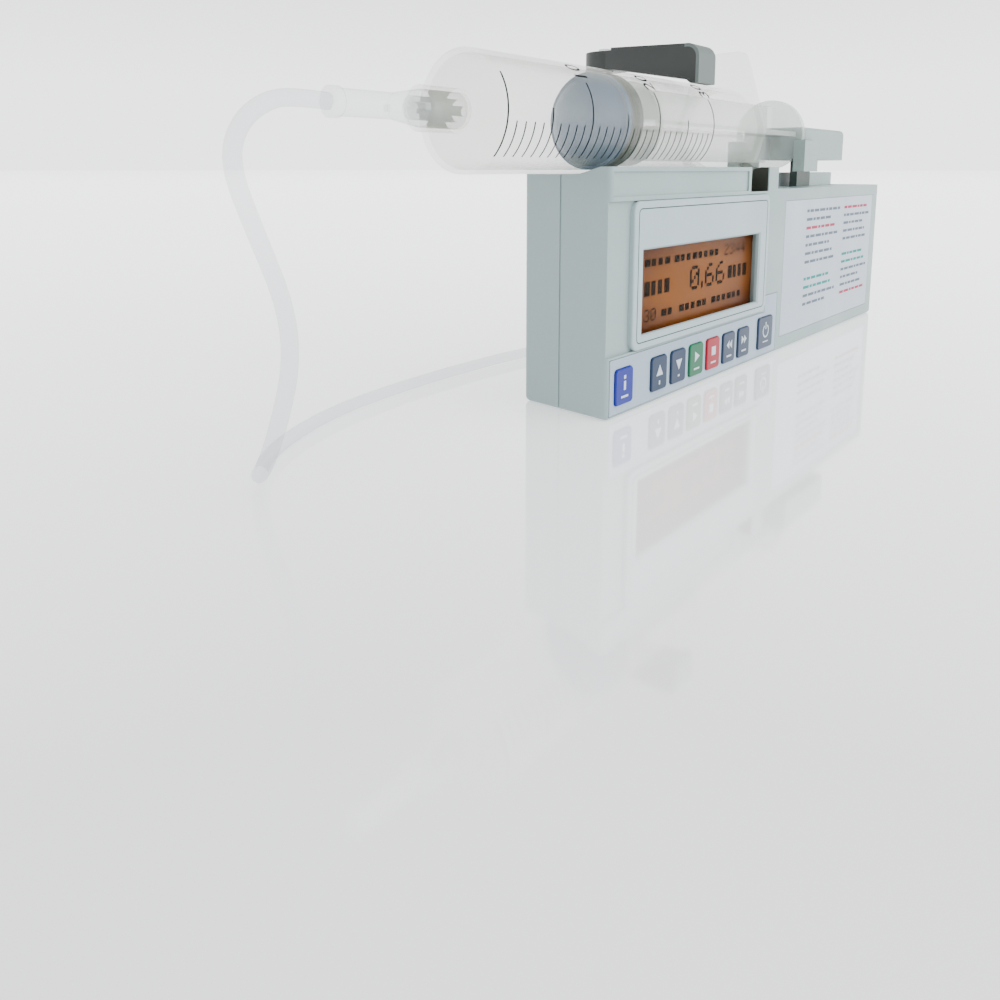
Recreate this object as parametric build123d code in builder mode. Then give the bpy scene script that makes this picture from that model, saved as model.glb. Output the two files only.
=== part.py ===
"""Ambulatory syringe pump with a loaded syringe and its infusion line.

Millimetres, +Z up. X runs along the case, Y from the front face to the back and Z up from
the face that the pump rests on. The origin is the middle of that face. Places along the case
are given from its left end and places in its depth from its front face, and the functions
along() and deep() turn them into X and Y.
"""

import os
from math import cos, pi, radians, sin, tan

from build123d import *

os.makedirs("parts", exist_ok=True)

# ---- case ---------------------------------------------------------------------------------
CASE_LENGTH = 169.0
CASE_DEPTH = 23.0
LIP_HEIGHT = 53.0  # the front lip beside the syringe
REAR_HEIGHT = 51.4  # the back of the case and the floor of the syringe cradle
DECK_HEIGHT = 47.0  # the deck that the actuator slides over
WALL = 2.0
PARTING_DEPTH = 12.8  # the plane where the two shells meet
EDGE_RADIUS = 1.2
SEAM_GROOVE = 0.22  # depth of the groove where the shells meet, and half its width
LIP_THICKNESS = 2.6
LIP_FOOT_DEPTH = 8.4  # where the lip's inner slope reaches the cradle floor
CRADLE_ROOF = 2.2  # wall under the cradle floor and the deck
DECK_START = 81.0  # the deck begins here, past the rib
BACK_WALL_DEPTH = 17.0  # the raised wall behind the deck starts here
RECESS = 0.7  # depth of the shallow front recesses
FIT = 0.15  # clearance round an inlaid panel
RUNNING = 0.05  # radial clearance of a shaft in its bore

# ---- collar slot ----------------------------------------------------------------------------
SLOT_START = 64.0
SLOT_END = 74.8
SLOT_FLOOR = 46.6
EAR_WELL_WIDTH = 5.0
EAR_WELL_FLOOR = 41.4
EAR_WELL_START = 4.0
EAR_WELL_END = 21.5
POCKET_WALL = 1.2
NOTCH_GAP = 0.6  # beside the barrel's flange where it passes the back wall
COLLAR_BUTTON_RADIUS, COLLAR_BUTTON_PROUD = 1.6, 0.8
COLLAR_BUTTON_UP, COLLAR_BUTTON_DEPTH = 49.2, 8.6

# ---- front panel ----------------------------------------------------------------------------
STRIP_LEFT, STRIP_RIGHT = 1.0, 62.6
STRIP_BOTTOM, STRIP_TOP = 46.9, 52.0
STRIP_DEPTH = 0.4
BAND_BOTTOM = 13.5
BEZEL_LEFT, BEZEL_RIGHT = 8.3, 75.2
BEZEL_BOTTOM, BEZEL_TOP = 13.5, 45.8
BEZEL_CORNER = 2.2
BEZEL_PROUD = 0.5
WINDOW_LEFT, WINDOW_RIGHT = 12.1, 69.8
WINDOW_BOTTOM, WINDOW_TOP = 16.6, 35.3
WINDOW_OVERLAP = 0.8  # the clear window reaches this far behind the bezel
WINDOW_THICKNESS = 1.0
GLASS_THICKNESS = 1.1
DISPLAY_BACK = 7.4
DISPLAY_MARGIN = 2.0

# ---- keypad ---------------------------------------------------------------------------------
KEY_WIDTH, KEY_HEIGHT = 6.6, 7.9
POWER_WIDTH, POWER_HEIGHT = 9.2, 8.9
KEY_SPACING = 1.96  # between neighbouring keys
KEY_BREAK = 7.5  # between the info key and the up key
POWER_BREAK = 5.7  # between the forward key and the power key
KEY_CORNER = 0.9
KEY_PROUD = 0.5
KEY_TRAVEL = 0.6
KEY_FLANGE = 0.5
KEY_FLOOR_GAP = 0.25  # between a key's flange and the floor of the case
KEY_PITCH = KEY_WIDTH + KEY_SPACING
KEY_MIDDLE = WALL + KEY_FLOOR_GAP + KEY_FLANGE + KEY_HEIGHT / 2
POWER_KEY_MIDDLE = WALL + KEY_FLOOR_GAP + KEY_FLANGE + POWER_HEIGHT / 2
INFO_MIDDLE = WALL + KEY_FLANGE + KEY_WIDTH / 2
FIRST_KEY = INFO_MIDDLE + KEY_WIDTH + KEY_BREAK  # middle of the up key
POWER_MIDDLE = FIRST_KEY + 5 * KEY_PITCH + (KEY_WIDTH + POWER_WIDTH) / 2 + POWER_BREAK
PANEL_LEFT = 0.9
PANEL_RIGHT = POWER_MIDDLE + POWER_WIDTH / 2 + 3.1
PANEL_BOTTOM, PANEL_TOP = 0.9, 12.9
PANEL_TAB_LEFT, PANEL_TAB_TOP = PANEL_RIGHT - 8.0, 17.6
LABEL_LEFT, LABEL_RIGHT = PANEL_RIGHT + 3.0, 163.0
LABEL_BOTTOM, LABEL_TOP = 4.0, 43.6
LABEL_THICKNESS = 0.25
KEY_FLANGE_THICKNESS = 0.7
KEY_GAP = 0.1
DOME_RADIUS = 2.2
DOME_HEIGHT = 0.45
DOME_CLEARANCE = 0.1
BOARD_THICKNESS = 1.2
KEYPAD_BOARD_BOTTOM, KEYPAD_BOARD_TOP = 2.6, 12.2

# ---- main board -------------------------------------------------------------------------------
MAIN_LEFT, MAIN_RIGHT = 5.0, 78.0
MAIN_BOTTOM, MAIN_TOP = 14.4, 40.0
MAIN_FACE = 9.2
POST_RADIUS = 1.8
CHIPS = ((20.0, 22.0, 9.0, 9.0, 1.4), (38.0, 30.0, 12.0, 7.0, 1.6), (52.0, 20.0, 6.0, 5.0, 1.2))
BUZZER_RADIUS, BUZZER_HEIGHT = 6.0, 4.2
BUZZER_ALONG, BUZZER_UP = 66.0, 24.0

# ---- case screws ------------------------------------------------------------------------------
SCREWS = (
    ((INFO_MIDDLE + FIRST_KEY) / 2, 6.0),
    (PANEL_RIGHT + 2.6, 6.0),
    (5.2, 45.4),
    (165.4, 41.0),
)
SCREW_RADIUS = 1.25
SCREW_HEAD_RADIUS, SCREW_HEAD_HEIGHT = 2.1, 1.5
SCREW_LENGTH = 16.0
BOSS_RADIUS = 2.3

# ---- drive ------------------------------------------------------------------------------------
SCREW_AXIS_UP = 37.4
LEAD_RADIUS, LEAD_ROOT_RADIUS = 2.5, 2.05
LEAD_PITCH = 2.0
JOURNAL_RADIUS = 2.0
PLATE_LEFT, PLATE_RIGHT = PANEL_RIGHT + 9.4, 160.2
PLATE_THICKNESS = 2.0
PLATE_FRONT, PLATE_BACK = 3.8, 20.6
CHASSIS_BOTTOM, CHASSIS_TOP = 3.4, 43.8
RIGHT_PLATE_BOTTOM = 34.0
RAIL_THICKNESS = 1.8
RAIL_BOTTOM = 35.0
BUSH_RADIUS = 4.0
BUSH_FLANGE_RADIUS, BUSH_FLANGE = 4.8, 0.6
ROD_RADIUS = 1.5
ROD_DEPTH = 6.4
GEAR_MODULE = 0.8
GEAR_WIDTH = 3.0
GEAR_START = PLATE_LEFT - 3.8
GEAR_BACKLASH = 0.12
SCREW_TEETH, IDLER_TEETH, PINION_TEETH = 16, 18, 12
IDLER_PIN_RADIUS = 1.5
OUTPUT_RADIUS = 1.5
GEARBOX_RADIUS, GEARBOX_LENGTH = 8.0, 7.0
MOTOR_RADIUS, MOTOR_LENGTH = 7.5, 9.6
MOTOR_CLEARANCE = 0.15
ENCODER_RADIUS, ENCODER_THICKNESS = 6.0, 0.8
ENCODER_SLOTS = 12
ENCODER_START = GEAR_START - 2.1

# ---- carriage and actuator ----------------------------------------------------------------------
CARRIAGE_START = 122.4
CARRIAGE_LENGTH = 12.0
CARRIAGE_FRONT, CARRIAGE_BACK = 3.9, 16.6
CARRIAGE_BOTTOM, CARRIAGE_TOP = 34.2, 42.6
NECK_THICKNESS, NECK_LENGTH = 2.4, 11.0
NECK_START = CARRIAGE_START + (CARRIAGE_LENGTH - NECK_LENGTH) / 2
TRAVEL_IN, TRAVEL_OUT = 18.0, 25.0  # from the pose shown, towards the syringe and away from it
DECK_SLOT_GAP = 0.3  # beside the neck
DECK_SLOT_OVERRUN = 1.3  # past the neck at the ends of its travel
ACTUATOR_LEFT, ACTUATOR_LENGTH = 105.0, 35.0
ACTUATOR_FRONT, ACTUATOR_BACK = 3.0, 22.6
ACTUATOR_BOTTOM, ACTUATOR_TOP = 55.4, 65.1
ACTUATOR_CORNER = 1.6
CLAMP_BOTTOM, CLAMP_TOP = 51.8, 61.0
CLAMP_THICKNESS = 1.6
CLAMP_PIN_INSET = 5.0
CLAMP_PIN_RADIUS = 0.8
CLAMP_HUB_RADIUS = 1.9
CLAMP_HOOK = 3.4
CLAMP_PIN_DEPTH = 1.6  # from the housing's face to the pin's middle
CLAMP_OUT = 2.4  # how far the clamp stands out past the housing's face
SENSOR_RADIUS, SENSOR_PROUD, SENSOR_UP = 2.6, 0.9, 60.6

# ---- syringe ------------------------------------------------------------------------------------
BARREL_RADIUS = 11.3
BARREL_WALL = 0.8
REST_GAP = 0.1  # between the barrel and the cradle floor
BARREL_START = -29.8
BARREL_END = 71.2
FLANGE_THICKNESS = 2.0
FLANGE_HALF_HEIGHT = BARREL_RADIUS + 9.4
FLANGE_HALF_WIDTH = BARREL_RADIUS + 1.9
FLANGE_TIP_WIDTH = 6.6
NOZZLE_RADIUS, NOZZLE_BORE, NOZZLE_LENGTH = 2.0, 0.9, 10.5
COLLAR_RADIUS, COLLAR_BORE, COLLAR_LENGTH = 4.0, 3.3, 9.5
STOPPER_RING = 9.0  # the front sealing edge
STOPPER_LENGTH = 6.0
STOPPER_DOME = 5.0
STOPPER_GAP = 0.04
BORE_RADIUS = BARREL_RADIUS - BARREL_WALL
ROD_RIB, ROD_RIB_RADIUS = 1.4, BORE_RADIUS - 2.1
ROD_DISC_RADIUS = BORE_RADIUS - 0.9
THUMB_RADIUS, THUMB_THICKNESS = BARREL_RADIUS - 0.9, 2.0
THUMB_GAP = 0.4  # between the thumb disc and the actuator's face

# ---- clamp arm ------------------------------------------------------------------------------------
ARM_MIDDLE = 35.9
ARM_WIDTH = 7.8
ARM_FRONT = -1.0
ARM_NOSE_RADIUS = 3.2
ARM_CAP_THICKNESS = 0.8
ARM_CAP_REACH = 2.8  # how far back the cap reaches over the nose
ARM_HOOK_THICKNESS = 1.3
POST_DEPTH = 27.4  # the clamp post stands this far behind the front face
ARM_TOP = 80.8  # at the nose
ARM_TOP_BACK = 81.9  # at the hub
HOOK_BOTTOM = 71.9
ARM_UNDER_FRONT = 72.4
ARM_UNDER_BACK = 77.6
HUB_RADIUS = 4.8
POST_ROD_RADIUS = 2.2
POST_FOOT_RADIUS, POST_FOOT_HEIGHT = 3.2, 1.5
POST_FOOT_UP = 14.0
POST_ENTRY = 2.0  # how far the post reaches into the arm
HUB_STEP = 0.6  # the hub is this much lower than the arm
ARM_SCREW_RADIUS, ARM_SCREW_HEAD, ARM_SCREW_GRIP = 0.8, 1.7, 5.0
TOWER_RADIUS = 4.8
TOWER_BOTTOM = 6.0
CHAMBER_RADIUS = 3.4
PLUG_LENGTH = 6.0
POST_BUSH_LENGTH = 6.4
SPRING_RADIUS, SPRING_WIRE, SPRING_TURNS = 2.82, 0.45, 9

# ---- battery -----------------------------------------------------------------------------------------
BATTERY_LENGTH, BATTERY_HEIGHT, BATTERY_THICKNESS = 46.2, 26.2, 17.2
TERMINAL_HEIGHT = 2.2
TERMINAL_RADIUS, TERMINAL_SPACING = 2.9, 12.7
TRAY_LEFT, TRAY_RIGHT = 113.6, 165.6
TRAY_BOTTOM, TRAY_TOP = 3.6, 32.4
TRAY_WALL = 1.0
DOOR_LEFT = 112.4
DOOR_BOTTOM, DOOR_TOP = 3.0, 33.0
DOOR_THICKNESS = 1.4
DOOR_BEVEL = 0.9
DOOR_GAP = 0.15
GRIP_COUNT = 5

# ---- infusion line --------------------------------------------------------------------------------------
LINE_RADIUS = 1.35
CONNECTOR_END = -57.6
COIL_ALONG, COIL_DEPTH = 100.0, 57.0
COIL_RADIUS = 15.5
COIL_SPAN = 8.2  # width and height of the wound bundle
OUTER_TURN = 18.2  # radius of the turn that the line's end leaves
END_HUB_RADIUS, END_GRIP_RADIUS, END_COLLAR_RADIUS = 2.2, 2.9, 3.4
# Route of the line: along from the left end, depth from the front face, height.
LINE_ROUTE = (
    (-57.6, 12.8, 62.8),
    (-62.2, 12.8, 63.05),
    (-67.6, 12.8, 62.7),
    (-72.7, 12.7, 59.1),
    (-74.6, 12.6, 53.2),
    (-70.9, 12.4, 42.9),
    (-66.9, 12.3, 32.6),
    (-65.9, 12.6, 23.2),
    (-68.3, 13.4, 13.2),
    (-69.1, 17.0, 5.6),
    (-66.6, 23.6, 1.9),
    (-57.0, 35.0, 1.45),
    (-37.0, 45.0, 1.5),
    (-8.0, 49.5, 1.45),
    (27.0, 50.0, 1.5),
    (60.0, 45.0, 1.45),
    (88.2, 41.5, 1.5),
)

LEFT = -CASE_LENGTH / 2
FRONT = -CASE_DEPTH / 2
SYRINGE_UP = REAR_HEIGHT + REST_GAP + BARREL_RADIUS
idler_up = SCREW_AXIS_UP - GEAR_MODULE * (SCREW_TEETH + IDLER_TEETH) / 2 - GEAR_BACKLASH
pinion_up = idler_up - GEAR_MODULE * (IDLER_TEETH + PINION_TEETH) / 2 - GEAR_BACKLASH
plate_left_end = PLATE_LEFT + PLATE_THICKNESS
plate_right_end = PLATE_RIGHT + PLATE_THICKNESS
gearbox_end = plate_left_end + GEARBOX_LENGTH


def along(place):
    """X of a place given from the case's left end."""
    return LEFT + place


def deep(place):
    """Y of a place given from the case's front face."""
    return FRONT + place


def facing_front(depth):
    """The plane at a depth behind the front face, seen from the front: its normal is -Y."""
    return Plane.XZ.offset(-deep(depth))


def facing_end(place, up=0.0, depth=0.0):
    """The plane across the case at a place along it, with its normal along +X."""
    return Plane(origin=(along(place), deep(depth), up), x_dir=(0, 1, 0), z_dir=(1, 0, 0))


def axis_plane(place, up=SYRINGE_UP):
    """The plane across the case whose origin is on an axis in the parting plane."""
    return facing_end(place, up, PARTING_DEPTH)


def lengthwise_plane(place, up):
    """The plane along an axis of the case, with its x along the axis and its y upward."""
    return Plane(origin=(along(place), deep(PARTING_DEPTH), up), x_dir=(1, 0, 0), z_dir=(0, -1, 0))


def block(x_span, y_span, z_span, mode=Mode.ADD):
    """Add or cut a block given its spans from the left end, the front face and the ground."""
    size = [span[1] - span[0] for span in (x_span, y_span, z_span)]
    place = (along(x_span[0]), deep(y_span[0]), z_span[0])
    with Locations(place):
        Box(*size, align=(Align.MIN, Align.MIN, Align.MIN), mode=mode)


def round_bar(place, end, radius, up, depth=PARTING_DEPTH, mode=Mode.ADD):
    """Add or cut a round bar along the case."""
    with BuildSketch(facing_end(place, up, depth)) as section:
        Circle(radius)
    extrude(section.sketch, amount=end - place, mode=mode)


def finish(builder, name):
    """Label a piece and write its STEP file."""
    builder.part.label = name
    export_step(builder.part, f"parts/{name}.step")


# ==== case =================================================================================
def cut_cradle():
    """Cut the syringe cradle behind the front lip, over the left part of the case."""
    with BuildSketch(facing_end(0.0)) as groove:
        with BuildLine():
            Polyline(
                (LIP_THICKNESS, LIP_HEIGHT + 1),
                (LIP_THICKNESS, LIP_HEIGHT),
                (LIP_FOOT_DEPTH, REAR_HEIGHT),
                (CASE_DEPTH + 1, REAR_HEIGHT),
                (CASE_DEPTH + 1, LIP_HEIGHT + 1),
                close=True,
            )
        make_face()
    extrude(groove.sketch, amount=CASE_LENGTH, mode=Mode.SUBTRACT)


def cut_cavity():
    """Hollow the case, leaving the walls, the cradle floor and the deck."""
    inner_left, inner_right = WALL, CASE_LENGTH - WALL
    deck_roof = DECK_HEIGHT - CRADLE_ROOF
    depth = (WALL, CASE_DEPTH - WALL)
    block((inner_left, DECK_START - WALL), depth, (WALL, REAR_HEIGHT - CRADLE_ROOF), Mode.SUBTRACT)
    block((inner_left, inner_right), depth, (WALL, deck_roof), Mode.SUBTRACT)


def add_collar_pocket():
    """Add the pocket's walls, then cut the collar slot and the well for the flange's ear."""
    well_middle = BARREL_END - FLANGE_THICKNESS / 2
    well = (well_middle - EAR_WELL_WIDTH / 2, well_middle + EAR_WELL_WIDTH / 2)
    inside = (WALL, CASE_DEPTH - WALL)
    roof = REAR_HEIGHT - CRADLE_ROOF
    block((SLOT_START - POCKET_WALL, SLOT_END + POCKET_WALL), inside, (SLOT_FLOOR - POCKET_WALL, roof))
    block((well[0] - POCKET_WALL, well[1] + POCKET_WALL), inside, (EAR_WELL_FLOOR - POCKET_WALL, roof))
    above = LIP_HEIGHT + 1
    block((SLOT_START, SLOT_END), (-1, CASE_DEPTH - WALL), (SLOT_FLOOR, above), Mode.SUBTRACT)
    notch = (BARREL_END - FLANGE_THICKNESS - NOTCH_GAP, BARREL_END + NOTCH_GAP)
    block(notch, (CASE_DEPTH - WALL - 1, CASE_DEPTH + 1), (SLOT_FLOOR, above), Mode.SUBTRACT)
    block(well, (EAR_WELL_START, EAR_WELL_END), (EAR_WELL_FLOOR, above), Mode.SUBTRACT)


def add_bosses():
    """Add a boss for each case screw, from the front wall to the back wall."""
    for place, up in SCREWS:
        with BuildSketch(facing_front(WALL)) as boss:
            with Locations((along(place), up)):
                Circle(BOSS_RADIUS)
        extrude(boss.sketch, amount=-(CASE_DEPTH - 2 * WALL))


def add_tower():
    """Add the tower on the back that the clamp arm's post runs in."""
    with BuildSketch(Plane.XY.offset(TOWER_BOTTOM)) as tower:
        with Locations((along(ARM_MIDDLE), deep(POST_DEPTH))):
            Circle(TOWER_RADIUS)
        with Locations((along(ARM_MIDDLE), deep((CASE_DEPTH - WALL + POST_DEPTH) / 2))):
            Rectangle(2 * TOWER_RADIUS, POST_DEPTH - CASE_DEPTH + WALL)
    extrude(tower.sketch, amount=REAR_HEIGHT - TOWER_BOTTOM)


def cut_deck_slot():
    """Cut the slot in the deck that the actuator's neck runs along."""
    half = NECK_THICKNESS / 2 + DECK_SLOT_GAP
    first = NECK_START - TRAVEL_IN - DECK_SLOT_OVERRUN
    last = NECK_START + NECK_LENGTH + TRAVEL_OUT + DECK_SLOT_OVERRUN
    depth = (PARTING_DEPTH - half, PARTING_DEPTH + half)
    block((first, last), depth, (DECK_HEIGHT - CRADLE_ROOF - 1, DECK_HEIGHT + 1), Mode.SUBTRACT)


def cut_motor_room():
    """Cut room for the gearbox and the motor where they come near the walls."""
    room = (plate_left_end, gearbox_end + MOTOR_LENGTH + MOTOR_CLEARANCE)
    round_bar(*room, GEARBOX_RADIUS + MOTOR_CLEARANCE, pinion_up, mode=Mode.SUBTRACT)


def cut_seam():
    """Cut the fine groove round the parting plane on the two ends and underneath."""
    around = (PARTING_DEPTH - SEAM_GROOVE, PARTING_DEPTH + SEAM_GROOVE)
    block((-1, SEAM_GROOVE), around, (-1, LIP_HEIGHT), Mode.SUBTRACT)
    block((CASE_LENGTH - SEAM_GROOVE, CASE_LENGTH + 1), around, (-1, LIP_HEIGHT), Mode.SUBTRACT)
    block((-1, CASE_LENGTH + 1), around, (-1, SEAM_GROOVE), Mode.SUBTRACT)
    block((-1, SLOT_START), around, (REAR_HEIGHT - SEAM_GROOVE, LIP_HEIGHT), Mode.SUBTRACT)


with BuildPart() as case:
    block((0, CASE_LENGTH), (0, CASE_DEPTH), (0, LIP_HEIGHT))
    uprights = case.edges().filter_by(Axis.Z)
    ground = case.faces().sort_by(Axis.Z)[0].edges()
    fillet(uprights + ground, EDGE_RADIUS)
    cut_cradle()
    block((DECK_START, CASE_LENGTH + 1), (-1, BACK_WALL_DEPTH), (DECK_HEIGHT, LIP_HEIGHT + 1), Mode.SUBTRACT)
    cut_cavity()
    add_collar_pocket()
    add_bosses()
    add_tower()
    cut_motor_room()
    cut_deck_slot()
    cut_seam()

KEYS = {
    "key_info": (INFO_MIDDLE, KEY_MIDDLE, KEY_WIDTH, KEY_HEIGHT),
    "key_up": (FIRST_KEY, KEY_MIDDLE, KEY_WIDTH, KEY_HEIGHT),
    "key_down": (FIRST_KEY + KEY_PITCH, KEY_MIDDLE, KEY_WIDTH, KEY_HEIGHT),
    "key_start": (FIRST_KEY + 2 * KEY_PITCH, KEY_MIDDLE, KEY_WIDTH, KEY_HEIGHT),
    "key_stop": (FIRST_KEY + 3 * KEY_PITCH, KEY_MIDDLE, KEY_WIDTH, KEY_HEIGHT),
    "key_back": (FIRST_KEY + 4 * KEY_PITCH, KEY_MIDDLE, KEY_WIDTH, KEY_HEIGHT),
    "key_forward": (FIRST_KEY + 5 * KEY_PITCH, KEY_MIDDLE, KEY_WIDTH, KEY_HEIGHT),
    "key_power": (POWER_MIDDLE, POWER_KEY_MIDDLE, POWER_WIDTH, POWER_HEIGHT),
}


def cut_key_holes():
    """Cut a hole through the wall or panel for every key."""
    with BuildSketch(facing_front(-1)) as holes:
        for place, up, width, height in KEYS.values():
            with Locations((along(place), up)):
                RectangleRounded(width + 2 * KEY_GAP, height + 2 * KEY_GAP, KEY_CORNER + KEY_GAP)
    extrude(holes.sketch, amount=-(WALL + 1.5), mode=Mode.SUBTRACT)


def panel_outline(grow=0.0):
    """Sketch the keypad panel's outline, with its tab at the right, grown all round."""
    with BuildLine() as edge:
        Polyline(
            (along(PANEL_LEFT - grow), PANEL_BOTTOM - grow),
            (along(PANEL_RIGHT + grow), PANEL_BOTTOM - grow),
            (along(PANEL_RIGHT + grow), PANEL_TAB_TOP + grow),
            (along(PANEL_TAB_LEFT - grow), PANEL_TAB_TOP + grow),
            (along(PANEL_TAB_LEFT - grow), PANEL_TOP + grow),
            (along(PANEL_LEFT - grow), PANEL_TOP + grow),
            close=True,
        )
    make_face(edge.edges())


def bezel_outline(grow=0.0):
    """Sketch the bezel's rounded outline, grown all round."""
    middle = (along((BEZEL_LEFT + BEZEL_RIGHT) / 2), (BEZEL_BOTTOM + BEZEL_TOP) / 2)
    width, height = BEZEL_RIGHT - BEZEL_LEFT, BEZEL_TOP - BEZEL_BOTTOM
    with Locations(middle):
        RectangleRounded(width + 2 * grow, height + 2 * grow, BEZEL_CORNER + grow)


def window_outline(grow=0.0, mode=Mode.ADD):
    """Sketch the screen's window, grown all round."""
    middle = (along((WINDOW_LEFT + WINDOW_RIGHT) / 2), (WINDOW_BOTTOM + WINDOW_TOP) / 2)
    with Locations(middle):
        Rectangle(WINDOW_RIGHT - WINDOW_LEFT + 2 * grow, WINDOW_TOP - WINDOW_BOTTOM + 2 * grow, mode=mode)


def tray_opening(mode=Mode.ADD):
    """Sketch the battery opening in the back wall."""
    middle = (along((TRAY_LEFT + TRAY_RIGHT) / 2), (TRAY_BOTTOM + TRAY_TOP) / 2)
    with Locations(middle):
        Rectangle(TRAY_RIGHT - TRAY_LEFT - 2 * TRAY_WALL, TRAY_TOP - TRAY_BOTTOM - 2 * TRAY_WALL, mode=mode)


with BuildPart() as front_shell:
    add(case.part)
    split(bisect_by=Plane.XZ.offset(-deep(PARTING_DEPTH)), keep=Keep.TOP)
    block((STRIP_LEFT, STRIP_RIGHT), (-1, STRIP_DEPTH), (STRIP_BOTTOM, STRIP_TOP), Mode.SUBTRACT)
    block((-1, BEZEL_LEFT + BEZEL_CORNER), (-1, RECESS), (BAND_BOTTOM, BEZEL_TOP + FIT), Mode.SUBTRACT)
    with BuildSketch(facing_front(-1)) as bezel_seat:
        bezel_outline(FIT)
    extrude(bezel_seat.sketch, amount=-(RECESS + 1), mode=Mode.SUBTRACT)
    with BuildSketch(facing_front(-1)) as panel_seat:
        panel_outline(FIT)
    extrude(panel_seat.sketch, amount=-(RECESS + 1), mode=Mode.SUBTRACT)
    with BuildSketch(facing_front(-1)) as window_hole:
        window_outline(WINDOW_OVERLAP + FIT)
    extrude(window_hole.sketch, amount=-(WALL + 2), mode=Mode.SUBTRACT)
    block((LABEL_LEFT, LABEL_RIGHT), (-1, LABEL_THICKNESS), (LABEL_BOTTOM, LABEL_TOP), Mode.SUBTRACT)
    cut_key_holes()
    button_well = (SLOT_END - 1, SLOT_END + 3.4)
    round_bar(
        *button_well,
        COLLAR_BUTTON_RADIUS + RUNNING,
        COLLAR_BUTTON_UP,
        COLLAR_BUTTON_DEPTH,
        Mode.SUBTRACT,
    )
    with BuildSketch(facing_front(WALL)) as board_posts:
        for place in (MAIN_LEFT + POST_RADIUS + 0.6, MAIN_RIGHT - POST_RADIUS - 0.6):
            for up in (MAIN_BOTTOM + POST_RADIUS + 0.6, MAIN_TOP - POST_RADIUS - 0.6):
                with Locations((along(place), up)):
                    Circle(POST_RADIUS)
    extrude(board_posts.sketch, amount=-(MAIN_FACE - WALL))
    with BuildSketch(facing_front(PARTING_DEPTH)) as pilots:
        for place, up in SCREWS:
            with Locations((along(place), up)):
                Circle(SCREW_RADIUS + RUNNING)
    pilot_depth = SCREW_LENGTH + SCREW_HEAD_HEIGHT - (CASE_DEPTH - PARTING_DEPTH)
    extrude(pilots.sketch, amount=pilot_depth, mode=Mode.SUBTRACT)

with BuildPart() as rear_shell:
    add(case.part)
    split(bisect_by=Plane.XZ.offset(-deep(PARTING_DEPTH)), keep=Keep.BOTTOM)
    with Locations((along(ARM_MIDDLE), deep(POST_DEPTH), TOWER_BOTTOM)):
        Cylinder(
            CHAMBER_RADIUS,
            REAR_HEIGHT - TOWER_BOTTOM,
            align=(Align.CENTER, Align.CENTER, Align.MIN),
            mode=Mode.SUBTRACT,
        )
    for place, up in SCREWS:
        with BuildSketch(facing_front(CASE_DEPTH)) as hole:
            with Locations((along(place), up)):
                Circle(SCREW_RADIUS + RUNNING)
        extrude(hole.sketch, amount=CASE_DEPTH, mode=Mode.SUBTRACT)
        with BuildSketch(facing_front(CASE_DEPTH)) as head_seat:
            with Locations((along(place), up)):
                Circle(SCREW_HEAD_RADIUS + FIT)
        extrude(head_seat.sketch, amount=SCREW_HEAD_HEIGHT, mode=Mode.SUBTRACT)
    with BuildSketch(facing_front(CASE_DEPTH - WALL - 1)) as battery_hole:
        tray_opening()
    extrude(battery_hole.sketch, amount=-(WALL + 2), mode=Mode.SUBTRACT)
    with BuildSketch(facing_end(DOOR_LEFT)) as door_way:
        with BuildLine():
            Polyline(
                (CASE_DEPTH - DOOR_THICKNESS - DOOR_GAP, DOOR_BOTTOM - DOOR_GAP),
                (CASE_DEPTH + 1, DOOR_BOTTOM - DOOR_GAP + DOOR_BEVEL),
                (CASE_DEPTH + 1, DOOR_TOP + DOOR_GAP - DOOR_BEVEL),
                (CASE_DEPTH - DOOR_THICKNESS - DOOR_GAP, DOOR_TOP + DOOR_GAP),
                close=True,
            )
        make_face()
    extrude(door_way.sketch, amount=CASE_LENGTH, mode=Mode.SUBTRACT)

with BuildPart() as screen_bezel:
    with BuildSketch(facing_front(RECESS)) as bezel_face:
        bezel_outline()
        window_outline(mode=Mode.SUBTRACT)
    extrude(bezel_face.sketch, amount=RECESS + BEZEL_PROUD)
    front_face = screen_bezel.faces().sort_by(Axis.Y)[0]
    fillet(front_face.outer_wire().edges(), BEZEL_PROUD * 0.8)
    chamfer(screen_bezel.faces().sort_by(Axis.Y)[0].inner_wires().edges(), BEZEL_PROUD * 0.8)

with BuildPart() as screen_window:
    with BuildSketch(facing_front(RECESS)) as window_face:
        window_outline(WINDOW_OVERLAP)
    extrude(window_face.sketch, amount=-WINDOW_THICKNESS)

glass_face = RECESS + WINDOW_THICKNESS + 0.3
with BuildPart() as display_glass:
    with BuildSketch(facing_front(glass_face)) as glass_outline:
        window_outline(WINDOW_OVERLAP)
    extrude(glass_outline.sketch, amount=-GLASS_THICKNESS)

with BuildPart() as display_frame:
    with BuildSketch(facing_front(glass_face + GLASS_THICKNESS)) as carrier:
        window_outline(DISPLAY_MARGIN)
    extrude(carrier.sketch, amount=-(DISPLAY_BACK - glass_face - GLASS_THICKNESS))

with BuildPart() as keypad_panel:
    with BuildSketch(facing_front(RECESS)) as panel_face:
        panel_outline()
    extrude(panel_face.sketch, amount=RECESS)
    cut_key_holes()

with BuildPart() as instruction_label:
    block((LABEL_LEFT + FIT, LABEL_RIGHT - FIT), (0, LABEL_THICKNESS), (LABEL_BOTTOM + FIT, LABEL_TOP - FIT))


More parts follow.
